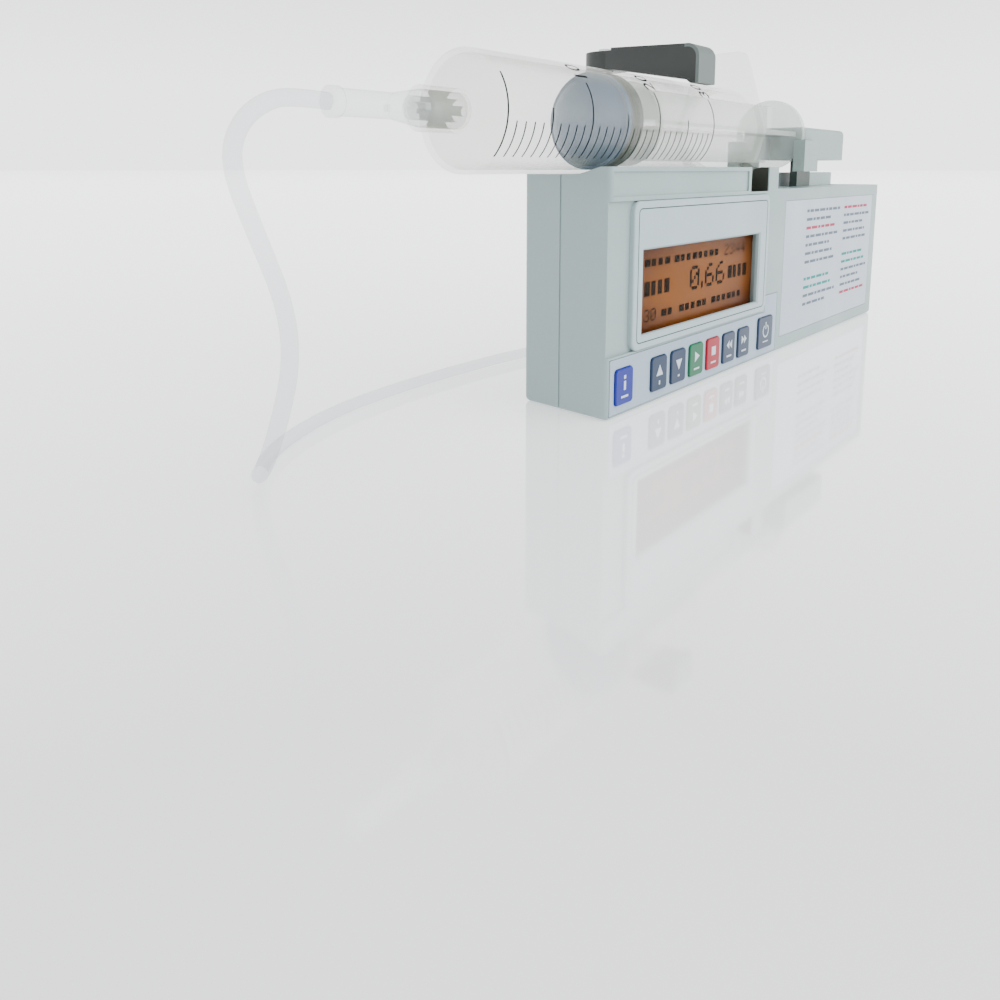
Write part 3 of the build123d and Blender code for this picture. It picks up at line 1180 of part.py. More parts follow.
PIECES = {
    "front_shell": front_shell,
    "rear_shell": rear_shell,
    "screen_bezel": screen_bezel,
    "screen_window": screen_window,
    "display_glass": display_glass,
    "display_frame": display_frame,
    "keypad_panel": keypad_panel,
    "instruction_label": instruction_label,
    "dome_contacts": dome_contacts,
    "keypad_board": keypad_board,
    "main_board": main_board,
    "board_chips": board_chips,
    "buzzer": buzzer,
    "case_screws": case_screws,
    "lead_screw": lead_screw,
    "encoder_disc": encoder_disc,
    "drive_chassis": drive_chassis,
    "guide_rod": guide_rod,
    "idler_pin": idler_pin,
    "output_shaft": output_shaft,
    "gear_motor": gear_motor,
    "screw_carriage": screw_carriage,
    "actuator_housing": actuator_housing,
    "clamp_pins": clamp_pins,
    "plunger_sensor": plunger_sensor,
    "collar_sensor": collar_sensor,
    "syringe_barrel": syringe_barrel,
    "stopper": stopper,
    "plunger_rod": plunger_rod,
    "line_connector": line_connector,
    "clamp_arm": clamp_arm,
    "arm_end_cap": arm_end_cap,
    "clamp_post": clamp_post,
    "arm_screw": arm_screw,
    "post_bush": post_bush,
    "post_plug": post_plug,
    "clamp_spring": clamp_spring,
    "battery_tray": battery_tray,
    "battery": battery,
    "battery_terminals": battery_terminals,
    "battery_contacts": battery_contacts,
    "battery_door": battery_door,
    "infusion_line": infusion_line,
    "line_coil": line_coil,
    "line_end_connector": line_end_connector,
}
for piece_name, piece in PIECES.items():
    finish(piece, piece_name)
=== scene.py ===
"""Looks of a battery powered syringe pump with a loaded syringe and its infusion line.

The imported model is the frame. Every CAD piece keeps its shape and gets a finish, and the print,
the screen's dots, the syringe's scale and the infusion line are made here. Metres, in the row
frame: X along the case, Y from the keypad face to the back, Z up from the resting face.
"""

import logging
import math
from collections.abc import Callable
from dataclasses import dataclass
from enum import Enum

import bpy
from mathutils import Matrix, Vector


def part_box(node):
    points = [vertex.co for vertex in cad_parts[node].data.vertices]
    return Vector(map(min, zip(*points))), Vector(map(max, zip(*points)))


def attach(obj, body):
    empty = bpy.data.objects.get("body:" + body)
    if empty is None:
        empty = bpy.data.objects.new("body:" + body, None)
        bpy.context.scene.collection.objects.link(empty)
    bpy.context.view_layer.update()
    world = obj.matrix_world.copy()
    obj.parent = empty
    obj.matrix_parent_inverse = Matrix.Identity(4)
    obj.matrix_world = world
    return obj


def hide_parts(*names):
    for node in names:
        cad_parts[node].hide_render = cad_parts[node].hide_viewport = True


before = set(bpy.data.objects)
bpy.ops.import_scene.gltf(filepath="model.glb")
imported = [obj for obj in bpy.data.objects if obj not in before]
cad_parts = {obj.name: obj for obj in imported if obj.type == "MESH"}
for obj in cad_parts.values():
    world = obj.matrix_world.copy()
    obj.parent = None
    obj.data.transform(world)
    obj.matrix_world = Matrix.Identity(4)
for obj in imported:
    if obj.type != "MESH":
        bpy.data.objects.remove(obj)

LOG = logging.getLogger("syringe_pump")
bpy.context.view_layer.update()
MM = 0.001
Colour = tuple[float, float, float]
Point = tuple[float, float, float]
Box = tuple[Point, Point]
Outline = list[tuple[float, float]]

# Boxes by their lowest and highest corners: the inside of the slot that takes the barrel's
# collar, where the case is painted dark as the shade in that pocket, and the darker seal at the
# rear of the stopper.
SLOT_PAINTED_SHADE: Box = ((-0.0206, -0.0112, 0.0464), (-0.0096, 0.0096, 0.0535))
STOPPER_SEAL: Box = ((-0.0728, -0.02, 0.04), (-0.0690, 0.02, 0.08))


def srgb(red: int, green: int, blue: int) -> Colour:
    """Turn a display colour into the linear colour that a shader takes.

    Args:
        red: Red, 0 to 255.
        green: Green, 0 to 255.
        blue: Blue, 0 to 255.

    Returns:
        The linear colour.
    """

    def linear(value: int) -> float:
        """One channel in linear light."""
        share = value / 255
        return share / 12.92 if share <= 0.04045 else ((share + 0.055) / 1.055) ** 2.4

    return (linear(red), linear(green), linear(blue))


def shade(colour: Colour, by: float) -> Colour:
    """A colour made lighter or darker by a factor."""
    return tuple(min(channel * by, 1.0) for channel in colour)


def add_to_scene(item: bpy.types.Object) -> None:
    """Put an object in the scene."""
    bpy.context.scene.collection.objects.link(item)


# ---- finishes -----------------------------------------------------------------------------------
class Graph:
    """A material's node tree, with short ways to add and join nodes."""

    def __init__(self, name: str) -> None:
        """Start a material with an empty shader.

        Args:
            name: The material's name.
        """
        self.material = bpy.data.materials.new(name)
        self.material.use_nodes = True
        self.tree = self.material.node_tree
        self.shader = self.tree.nodes["Principled BSDF"]
        self.place = self.tree.nodes.new("ShaderNodeTexCoord").outputs["Object"]

    def node(self, kind: str, **inputs: object) -> bpy.types.Node:
        """Add a node and fill its inputs.

        Args:
            kind: The node's type without its ShaderNode prefix.
            inputs: Values or sockets, by input name, with _ for a space.

        Returns:
            The node.
        """
        made = self.tree.nodes.new("ShaderNode" + kind)
        for name, value in inputs.items():
            self.feed(made.inputs[name.replace("_", " ")], value)
        return made

    def feed(self, socket: bpy.types.NodeSocket, value: object) -> None:
        """Give an input a value or join a socket to it.

        Args:
            socket: The input.
            value: A number, a colour, or another node's output.
        """
        if isinstance(value, bpy.types.NodeSocket):
            self.tree.links.new(value, socket)
        elif isinstance(value, tuple) and len(value) == 3 and len(socket.default_value) == 4:
            socket.default_value = (*value, 1.0)
        else:
            socket.default_value = value

    def set(self, **values: object) -> None:
        """Fill the shader's own inputs, by name, with _ for a space."""
        for name, value in values.items():
            self.feed(self.shader.inputs[name.replace("_", " ")], value)

    def noise(
        self, scale: float, detail: float = 3.0, stretch: Point = (1, 1, 1)
    ) -> bpy.types.NodeSocket:
        """Add a noise over the piece.

        Args:
            scale: Number of features in a metre.
            detail: Octaves.
            stretch: Scale along each axis.

        Returns:
            The noise's value.
        """
        place = self.node("Mapping", Vector=self.place, Scale=stretch).outputs["Vector"]
        return self.node("TexNoise", Vector=place, Scale=scale, Detail=detail).outputs["Fac"]

    def remap(
        self, value: bpy.types.NodeSocket, start: float, end: float, low: float, high: float
    ) -> bpy.types.NodeSocket:
        """Turn a value that runs from start to end into one that runs from low to high.

        Args:
            value: The value.
            start: What becomes low.
            end: What becomes high.
            low: The lowest result.
            high: The highest result.

        Returns:
            The result.
        """
        limits = {"From_Min": start, "From_Max": end, "To_Min": low, "To_Max": high}
        return self.node("MapRange", Value=value, **limits).outputs["Result"]

    def between(self, noise: bpy.types.NodeSocket, low: float, high: float) -> bpy.types.NodeSocket:
        """Stretch a noise, which mostly lies between 0.3 and 0.7, to run from low to high."""
        return self.remap(noise, 0.3, 0.7, low, high)

    def mottle(
        self, colour: Colour, noise: bpy.types.NodeSocket, dark: float, light: float
    ) -> bpy.types.NodeSocket:
        """Vary a colour with a noise, between two factors of its own brightness."""
        cloud = self.between(noise, 0.0, 1.0)
        return self.blend(cloud, shade(colour, dark), shade(colour, light))

    def blend(self, amount: object, first: object, second: object) -> bpy.types.NodeSocket:
        """Mix two colours.

        Args:
            amount: Share of the second colour.
            first: First colour.
            second: Second colour.

        Returns:
            The mixed colour.
        """
        mix = self.tree.nodes.new("ShaderNodeMix")
        mix.data_type = "RGBA"
        self.feed(mix.inputs["Factor"], amount)
        self.feed(mix.inputs[6], first)
        self.feed(mix.inputs[7], second)
        return mix.outputs[2]

    def math(self, operation: str, *values: object) -> bpy.types.NodeSocket:
        """Work out one sum.

        Args:
            operation: The sum's name.
            values: Numbers or sockets, in the order that the sum takes them.

        Returns:
            The result.
        """
        made = self.tree.nodes.new("ShaderNodeMath")
        made.operation = operation
        for socket, value in zip(made.inputs, values):
            self.feed(socket, value)
        return made.outputs[0]

    def inside(self, low: Point, high: Point) -> bpy.types.NodeSocket:
        """Tell whether a point lies in a box.

        Args:
            low: The box's lowest corner, in metres.
            high: Its highest corner.

        Returns:
            1 inside the box and 0 outside it.
        """
        along = self.node("SeparateXYZ", Vector=self.place).outputs
        near = [
            self.math("COMPARE", place, (start + end) / 2, (end - start) / 2)
            for place, start, end in zip(along, low, high)
        ]
        return self.math("MULTIPLY", self.math("MULTIPLY", near[0], near[1]), near[2])

    def bump(self, height: bpy.types.NodeSocket, distance: float, strength: float = 1.0) -> None:
        """Give the shader a bump.

        Args:
            height: The height pattern.
            distance: Its depth in metres.
            strength: Its strength.
        """
        made = self.node("Bump", Height=height, Distance=distance, Strength=strength)
        self.set(Normal=made.outputs["Normal"])


@dataclass(frozen=True)
class Finish:
    """What every finish has.

    Attributes:
        name: The material's name.
        colour: Main colour, linear.
        slot: The record's material slot.
    """

    name: str
    colour: Colour
    slot: str

    def make(self) -> bpy.types.Material:
        """Return the material, made on first use."""
        full_name = f"look_{self.name}"
        return bpy.data.materials.get(full_name) or self.build(Graph(full_name))

    def build(self, graph: Graph) -> bpy.types.Material:
        """Fill the graph and return its material."""
        graph.set(Base_Color=self.colour)
        return graph.material


@dataclass(frozen=True)
class Moulded(Finish):
    """Moulded plastic with a fine spark-eroded grain, slightly mottled and handled, and painted
    dark as shade inside a box if one is given.

    Attributes:
        roughness: Middle roughness.
        grain: Depth of the grain in metres.
        speckle: Share of the fine speckle in the colour.
        shaded: A box whose inside is painted darker as shade, or nothing.
        shadow: Colour of the painted shade inside that box.
    """

    roughness: float = 0.42
    grain: float = 0.000012
    speckle: float = 0.06
    shaded: Box | None = None
    shadow: Colour = srgb(46, 48, 42)

    def build(self, graph: Graph) -> bpy.types.Material:
        """Fill the graph with a mottled colour, painted shade inside the box, the wear of handling
        and a grain.

        Args:
            graph: The material's graph.

        Returns:
            The material.
        """
        tone = graph.mottle(self.colour, graph.noise(28, 4), 0.955, 1.035)
        speckled = graph.mottle(self.colour, graph.noise(900, 2), 0.8, 1.2)
        colour = graph.blend(self.speckle, tone, speckled)
        # Painted shade: inside the box the colour turns dark, standing in for the shade in the
        # slot's pocket.
        if self.shaded:
            colour = graph.blend(graph.inside(*self.shaded), colour, self.shadow)
        handled = graph.between(graph.noise(45, 5), self.roughness - 0.05, self.roughness + 0.07)
        graph.set(Base_Color=colour, Roughness=handled)
        graph.bump(graph.noise(2600, 2), self.grain, 0.6)
        return graph.material


@dataclass(frozen=True)
class Film(Finish):
    """Smooth printed film or a glossy key cap, with a faint orange peel.

    Attributes:
        roughness: Middle roughness.
        coat: Share of a clear skin.
        gloss: Specular level.
        peel: Depth of the orange peel in metres.
    """

    roughness: float = 0.32
    coat: float = 0.06
    gloss: float = 0.28
    peel: float = 0.00001

    def build(self, graph: Graph) -> bpy.types.Material:
        """Fill the graph with an even colour, upright smears and the orange peel.

        Args:
            graph: The material's graph.

        Returns:
            The material.
        """
        colour = graph.mottle(self.colour, graph.noise(60, 3), 0.97, 1.03)
        smear = graph.noise(90, 4, (1.0, 1.0, 0.4))
        roughness = graph.between(smear, self.roughness - 0.05, self.roughness + 0.08)
        graph.set(Base_Color=colour, Roughness=roughness, Specular_IOR_Level=self.gloss)
        graph.set(Coat_Weight=self.coat, Coat_Roughness=0.08)
        graph.bump(graph.noise(420, 2), self.peel, 0.35)
        return graph.material


@dataclass(frozen=True)
class Clear(Finish):
    """Thin clear or milky plastic, which shows what lies behind it.

    Attributes:
        roughness: How frosted it is.
        body: Share of what it shows of itself, from 0 for clear to 1 for opaque.
        rim: How much more of itself it shows where it is seen edge on.
        coat: Share of a clear skin.
        ripple: Depth of its flow marks in metres.
    """

    roughness: float = 0.12
    body: float = 0.3
    rim: float = 0.0
    coat: float = 0.4
    ripple: float = 0.000015

    def build(self, graph: Graph) -> bpy.types.Material:
        """Fill the graph with a thin colour that thickens at the rim, and flow marks.

        Args:
            graph: The material's graph.

        Returns:
            The material.
        """
        colour = graph.mottle(self.colour, graph.noise(50, 3), 0.96, 1.02)
        shown = self.body
        if self.rim:
            edge = graph.node("LayerWeight", Blend=0.25).outputs["Facing"]
            colour = graph.blend(edge, colour, shade(self.colour, 0.3))
            shown = graph.remap(edge, 0.35, 1.0, self.body, self.body + self.rim)
        flow = graph.noise(35, 3, (0.3, 1.0, 1.0))
        frost = graph.between(flow, self.roughness * 0.8, self.roughness * 1.3)
        graph.set(Base_Color=colour, Roughness=frost, Alpha=shown, Specular_IOR_Level=0.8)
        graph.set(Coat_Weight=self.coat, Coat_Roughness=0.05)
        graph.bump(graph.noise(160, 2, (0.4, 1.0, 1.0)), self.ripple, 0.3)
        return graph.material


@dataclass(frozen=True)
class Metal(Finish):
    """Bare metal with fine tool lines.

    Attributes:
        roughness: Middle roughness.
        lines: Scale of the tool lines along each axis.
        depth: Depth of the tool lines in metres.
    """

    roughness: float = 0.28
    lines: Point = (0.05, 1.0, 1.0)
    depth: float = 0.000008

    def build(self, graph: Graph) -> bpy.types.Material:
        """Fill the graph with bare metal, its polish and its tool lines.

        Args:
            graph: The material's graph.

        Returns:
            The material.
        """
        brushed = graph.noise(1800, 3, self.lines)
        colour = graph.mottle(self.colour, brushed, 0.86, 1.0)
        polish = graph.between(graph.noise(70, 3), self.roughness - 0.06, self.roughness + 0.1)
        graph.set(Base_Color=colour, Metallic=1.0, Roughness=polish)
        graph.bump(brushed, self.depth, 0.4)
        return graph.material


@dataclass(frozen=True)
class Rubber(Finish):
    """Smooth silicone, a little translucent.

    Attributes:
        roughness: Roughness.
        seal: The box that holds the darker rear seal.
        seal_colour: Its colour.
    """

    roughness: float = 0.34
    seal: Box = STOPPER_SEAL
    seal_colour: Colour = srgb(24, 40, 50)

    def build(self, graph: Graph) -> bpy.types.Material:
        """Fill the graph with a soft colour, the darker seal and a fine skin.

        Args:
            graph: The material's graph.

        Returns:
            The material.
        """
        colour = graph.mottle(self.colour, graph.noise(120, 4), 0.92, 1.06)
        colour = graph.blend(graph.inside(*self.seal), colour, self.seal_colour)
        graph.set(Base_Color=colour, Roughness=self.roughness)
        graph.set(Subsurface_Weight=0.15, Subsurface_Scale=1 * MM)
        graph.bump(graph.noise(700, 2), 0.01 * MM, 0.4)
        return graph.material


@dataclass(frozen=True)
class Backlit(Finish):
    """The screen's backlit amber glass, brighter in the middle.

    Attributes:
        glow: Strength of the backlight.
        edge: Colour at the edge.
        fade: Where the edge's colour starts and where it is full, in half sizes of the glass.
    """

    glow: float = 0.3
    edge: Colour = srgb(44, 8, 0)
    fade: tuple[float, float] = (0.55, 1.35)

    def build(self, graph: Graph) -> bpy.types.Material:
        """Fill the graph with a glow that falls off from the glass's middle.

        Args:
            graph: The material's graph.

        Returns:
            The material.
        """
        low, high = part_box("display_glass")
        size = high - low
        middle = graph.node("Mapping", Vector=graph.place, Location=tuple(-(low + high) / 2))
        halves = (2 / size.x, 0.0, 2 / size.z)
        scaled = graph.node("Mapping", Vector=middle.outputs["Vector"], Scale=halves)
        away = graph.node("VectorMath", Vector=scaled.outputs["Vector"])
        away.operation = "LENGTH"
        share = graph.remap(away.outputs["Value"], *self.fade, 0.0, 1.0)
        cloud = graph.between(graph.noise(60, 2), 0.0, 0.15)
        lit = graph.blend(share, self.colour, self.edge)
        colour = graph.blend(cloud, lit, shade(self.edge, 1.5))
        graph.set(Base_Color=colour, Roughness=0.35, Specular_IOR_Level=0.08)
        graph.set(Emission_Color=colour, Emission_Strength=self.glow)
        return graph.material


class Ink(Enum):
    """The colours that things are printed in, and the painted shade in the bezel's groove."""

    BLACK = srgb(18, 22, 26)
    DOT = srgb(12, 5, 2)
    WHITE = srgb(190, 200, 206)
    GREY = srgb(104, 114, 126)
    TEAL = srgb(56, 138, 132)
    ROSE = srgb(170, 72, 96)
    # Painted shade: the dark grey that stands for the shade in the bezel's fine groove.
    LINE = srgb(60, 72, 74)

    def finish(self, slot: str) -> Film:
        """The ink as a thin printed film.

        Args:
            slot: The record's slot of the piece it is printed on.

        Returns:
            The finish.
        """
        name = f"ink_{self.name.lower()}_{slot}"
        return Film(name, self.value, slot, roughness=0.6, coat=0.0, gloss=0.05)


# Depth of the coarser grain of the dark parts, in metres.
COARSE_GRAIN = 0.00002

CASE = Moulded(
    "case_plastic", srgb(142, 160, 160), "case_plastic", roughness=0.4, shaded=SLOT_PAINTED_SHADE
)
BEZEL = Moulded(
    "bezel_plastic", srgb(158, 177, 180), "bezel_plastic", roughness=0.36, grain=0.000008
)
KEYPAD = Film("keypad_film", srgb(150, 168, 183), "keypad_film")
KEY_SLATE = Film("key_slate", srgb(18, 42, 70), "key_slate")
KEY_GREEN = Film("key_green", srgb(0, 92, 58), "key_green")
KEY_RED = Film("key_red", srgb(146, 0, 30), "key_red")
KEY_BLUE = Film("key_blue", srgb(8, 26, 128), "key_blue")
LABEL = Film("label_film", srgb(176, 187, 199), "label_film", roughness=0.4, coat=0.1)
WINDOW = Clear(
    "window_clear", srgb(120, 90, 50), "window_clear", roughness=0.05, body=0.02, coat=0.0
)
AMBER = Backlit("lcd_amber", srgb(108, 58, 0), "lcd_amber")
WHITE_PLASTIC = Moulded("white_plastic", srgb(200, 200, 192), "white_plastic")
DARK_PLASTIC = Moulded(
    "dark_plastic", srgb(32, 38, 36), "dark_plastic", roughness=0.46, grain=COARSE_GRAIN
)
BLACK_PLASTIC = Moulded(
    "black_plastic", srgb(24, 27, 27), "dark_plastic", roughness=0.5, grain=COARSE_GRAIN
)
CARRIAGE = Moulded(
    "carriage_plastic", srgb(72, 86, 80), "dark_plastic", roughness=0.46, grain=COARSE_GRAIN
)
ACTUATOR = Moulded("actuator_plastic", srgb(138, 156, 152), "actuator_plastic", roughness=0.4)
# Painted light: the arm's end cap is a lighter grey than the dark arm, standing in for the light
# that falls on it.
ARM_CAP_PAINTED_LIGHT = Moulded("arm_cap_painted_light", srgb(88, 100, 97), "actuator_plastic", roughness=0.42)
BARREL = Clear(
    "syringe_clear",
    srgb(222, 226, 208),
    "syringe_clear",
    roughness=0.16,
    body=0.13,
    rim=0.5,
    coat=0.3,
)
STOPPER = Rubber("stopper_rubber", srgb(20, 70, 116), "stopper_rubber")
ROD = Clear("rod_plastic", srgb(196, 206, 202), "rod_plastic", roughness=0.3, body=0.4)
LUER = Clear(
    "luer_plastic", srgb(226, 236, 234), "luer_plastic", roughness=0.2, body=0.2, rim=0.3
)
TUBING = Clear(
    "line_pvc", srgb(140, 160, 184), "line_pvc", roughness=0.1, body=0.16, rim=0.3, coat=0.3
)
BOARD = Film("board_green", srgb(14, 70, 44), "board_green")
CHIP = Moulded("chip_black", srgb(22, 22, 24), "chip_black", roughness=0.55)
STEEL = Metal("ground_steel", (0.5, 0.51, 0.52), "steel")
UPRIGHT_STEEL = Metal(
    "post_steel", (0.52, 0.53, 0.54), "steel", roughness=0.22, lines=(1.0, 1.0, 0.05)
)
ZINC = Metal("zinc_plate", (0.56, 0.57, 0.58), "zinc_plate", roughness=0.38)
BRASS = Metal("brass_part", (0.62, 0.4, 0.14), "brass_part", roughness=0.3)
GEAR = Moulded("gear_plastic", srgb(200, 196, 178), "gear_plastic")
SPRING = Metal("spring_steel", (0.4, 0.4, 0.42), "spring_steel")
CELL = Film("battery_skin", srgb(30, 32, 38), "battery_skin", roughness=0.3)
NICKEL = Metal("nickel_plate", (0.6, 0.58, 0.52), "nickel", roughness=0.2)

NODES_BY_FINISH: dict[Finish, tuple[str, ...]] = {
    CASE: ("front_shell", "rear_shell", "post_plug", "battery_door"),
    BEZEL: ("screen_bezel",),
    WINDOW: ("screen_window",),
    AMBER: ("display_glass",),
    WHITE_PLASTIC: ("display_frame", "post_bush"),
    KEYPAD: ("keypad_panel",),
    KEY_BLUE: ("key_info",),
    KEY_SLATE: ("key_up", "key_down", "key_back", "key_forward", "key_power"),
    KEY_GREEN: ("key_start",),
    KEY_RED: ("key_stop",),
    LABEL: ("instruction_label",),
    DARK_PLASTIC: ("clamp_arm",),
    ARM_CAP_PAINTED_LIGHT: ("arm_end_cap",),
    ACTUATOR: ("actuator_housing", "front_plunger_clamp", "rear_plunger_clamp"),
    BARREL: ("syringe_barrel",),
    STOPPER: ("stopper",),
    ROD: ("plunger_rod",),
    LUER: ("line_connector", "line_end_connector"),
    BOARD: ("keypad_board", "main_board"),
    NICKEL: ("dome_contacts", "battery_terminals", "battery_contacts"),
    CHIP: ("board_chips", "buzzer"),
    CARRIAGE: ("screw_carriage",),
    BLACK_PLASTIC: ("encoder_disc", "plunger_sensor", "collar_sensor", "battery_tray"),
    ZINC: ("drive_chassis", "gear_motor"),
    STEEL: ("lead_screw", "guide_rod", "output_shaft", "idler_pin"),
    UPRIGHT_STEEL: ("clamp_pins", "clamp_post", "arm_screw", "case_screws"),
    SPRING: ("clamp_spring",),
    BRASS: ("left_bush", "right_bush", "drive_pinion", "screw_gear"),
    GEAR: ("idler_gear",),
    CELL: ("battery",),
}
NODE_FINISHES = {node: finish for finish, nodes in NODES_BY_FINISH.items() for node in nodes}


def dress_nodes() -> None:
    """Give every CAD piece its finish."""
    for name, finish in NODE_FINISHES.items():
        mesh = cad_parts[name].data
        mesh.materials.clear()
        mesh.materials.append(finish.make())
        LOG.info("%s is finished as %s", name, finish.name)


# ---- making pieces ------------------------------------------------------------------------------
class Sheet:
    """Flat or wrapped print, gathered as polygons and made into one piece."""

    def __init__(self) -> None:
        """Start an empty print."""
        self.points: list[Point] = []
        self.faces: list[list[int]] = []

    def polygon(self, corners: list[Point]) -> None:
        """Add a polygon.

        Args:
            corners: Its corners, in order.
        """
        start = len(self.points)
        self.points.extend(corners)
        self.faces.append(list(range(start, start + len(corners))))

    def upright(self, left: float, low: float, right: float, high: float, front: float) -> None:
        """Add a rectangle that faces the front.

        Args:
            left: X of its left side.
            low: Z of its lower side.
            right: X of its right side.
            high: Z of its upper side.
            front: Its Y.
        """
        corners = ((left, low), (right, low), (right, high), (left, high))
        self.polygon([(x, front, z) for x, z in corners])

    def mesh(self, source: bpy.types.Mesh, place: Callable[[float, float], Point]) -> None:
        """Add another mesh, with each of its points put through a function.

        Args:
            source: The mesh.
            place: Turns a flat point's x and y into a point in the row frame.
        """
        start = len(self.points)
        self.points.extend(place(v.co.x, v.co.y) for v in source.vertices)
        self.faces.extend([start + i for i in p.vertices] for p in source.polygons)

    def make(self, name: str, finish: Finish, body: str) -> bpy.types.Object:
        """Make the piece and set it riding.

        Args:
            name: The piece's name.
            finish: Its finish.
            body: The CAD body it moves with.

        Returns:
            The piece.
        """
        mesh = bpy.data.meshes.new(name)
        mesh.from_pydata(self.points, [], self.faces)
        mesh.materials.append(finish.make())
        piece = bpy.data.objects.new(name, mesh)
        add_to_scene(piece)
        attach(piece, body)
        LOG.info("%s: %d faces", name, len(self.faces))
        return piece


def lettering(text: str, height: float) -> bpy.types.Mesh:
    """Numbers as a flat mesh, centred.

    Args:
        text: What to write.
        height: Height of a digit in metres.

    Returns:
        The mesh.
    """
    font_size_by_height = 1.4
    curve = bpy.data.curves.new("digits", "FONT")
    curve.body = text
    curve.align_x = "CENTER"
    curve.align_y = "CENTER"
    curve.size = height * font_size_by_height
    curve.resolution_u = 3
    source = bpy.data.objects.new("digits", curve)
    mesh = bpy.data.meshes.new_from_object(source)
    bpy.data.objects.remove(source)
    return mesh


# ---- infusion line ------------------------------------------------------------------------------
@dataclass
class InfusionLine:
    """The thin clear tube from the syringe, down to the table and into its coil.

    Attributes:
        radius: Radius of the tube.
        route: Points from the connector to the coil.
        coil_middle: Middle of the coil on the table.
        turns: Radius and height of each turn, in winding order.
        last_turn: Radius and height of the half turn that ends the coil.
        steps: Points in a turn.
        settle: Points over which a turn takes up its own radius and height.
        tail: The points that end in the connector, by their distance past the coil and height.
    """

    radius: float = 0.00135
    route: tuple[Point, ...] = (
        (-0.1421, 0.0013, 0.0628),
        (-0.1467, 0.0013, 0.06305),
        (-0.1521, 0.0013, 0.0627),
        (-0.1572, 0.0012, 0.0591),
        (-0.1591, 0.0011, 0.0532),
        (-0.1554, 0.0009, 0.0429),
        (-0.1514, 0.0008, 0.0326),
        (-0.1504, 0.0011, 0.0232),
        (-0.1528, 0.0019, 0.0132),
        (-0.1536, 0.0055, 0.0056),
        (-0.1511, 0.0121, 0.0019),
        (-0.1415, 0.0235, 0.00145),
        (-0.1215, 0.0335, 0.0015),
        (-0.0925, 0.0380, 0.00145),
        (-0.0575, 0.0385, 0.0015),
        (-0.0245, 0.0335, 0.00145),
        (0.0037, 0.0300, 0.0015),
    )
    coil_middle: tuple[float, float] = (0.0155, 0.0455)
    turns: tuple[tuple[float, float], ...] = (
        (0.0155, 0.00142),
        (0.0128, 0.00142),
        (0.0128, 0.00412),
        (0.0155, 0.00412),
        (0.0155, 0.00682),
        (0.0182, 0.00682),
        (0.0182, 0.00412),
    )
    last_turn: tuple[float, float] = (0.0182, 0.00142)
    steps: int = 16
    settle: int = 4
    tail: tuple[tuple[float, float], ...] = ((0.0075, 0.00192), (0.01425, 0.0029))

    def coil(self) -> list[Point]:
        """Work out the coil's points, turn by turn, and those that end in the connector.

        The spline runs inside its points, so a turn's points stand a little outside the turn.

        Returns:
            The points.
        """
        wound = [*self.turns, self.last_turn]
        across, deep = self.coil_middle
        outside = 1 / math.cos(math.pi / self.steps) ** 0.5
        points = []
        for step in range(1, len(self.turns) * self.steps + self.steps // 2 + 1):
            turn, part = divmod(step, self.steps)
            before, now = wound[max(turn - 1, 0)], wound[turn]
            share = min(part / self.settle, 1.0)
            share = share * share * (3 - 2 * share)
            reach = outside * (before[0] + share * (now[0] - before[0]))
            height = before[1] + share * (now[1] - before[1])
            angle = -math.pi / 2 + 2 * math.pi * step / self.steps
            points.append(
                (across + reach * math.cos(angle), deep + reach * math.sin(angle), height)
            )
        end_x, end_y, _ = points[-1]
        points.extend((end_x - past, end_y, height) for past, height in self.tail)
        return points

    def build(self) -> bpy.types.Object:
        """Make the line as one smooth spline.

        Returns:
            The line.
        """
        curve = bpy.data.curves.new("infusion_line_tube", "CURVE")
        curve.dimensions = "3D"
        curve.bevel_depth = self.radius
        curve.bevel_resolution = 5
        curve.resolution_u = 6
        curve.use_fill_caps = True
        spline = curve.splines.new("NURBS")
        points = [*self.route, *self.coil()]
        spline.points.add(len(points) - 1)
        for point, place in zip(spline.points, points):
            point.co = (*place, 1.0)
        spline.order_u = 3
        spline.use_endpoint_u = True
        piece = bpy.data.objects.new("infusion_line_tube", curve)
        add_to_scene(piece)
        curve.materials.append(TUBING.make())
        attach(piece, "case")
        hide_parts("infusion_line", "line_coil")
        LOG.info("%s: %d points", piece.name, len(points))
        return piece


# ---- screen -------------------------------------------------------------------------------------
# The dots of each number, top row first.
DIGITS: dict[str, tuple[str, ...]] = {
    "0": ("01110", "10001", "10011", "10101", "11001", "10001", "01110"),
    "2": ("01110", "10001", "00001", "00110", "01000", "10000", "11111"),
    "3": ("01110", "10001", "00001", "00110", "00001", "10001", "01110"),
    "4": ("00010", "00110", "01010", "10010", "11111", "00010", "00010"),
    "6": ("00110", "01000", "10000", "11110", "10001", "10001", "01110"),
    ":": ("0", "1", "1", "0", "1", "1", "0"),
    ".": ("0", "0", "0", "0", "0", "1", "1"),
}


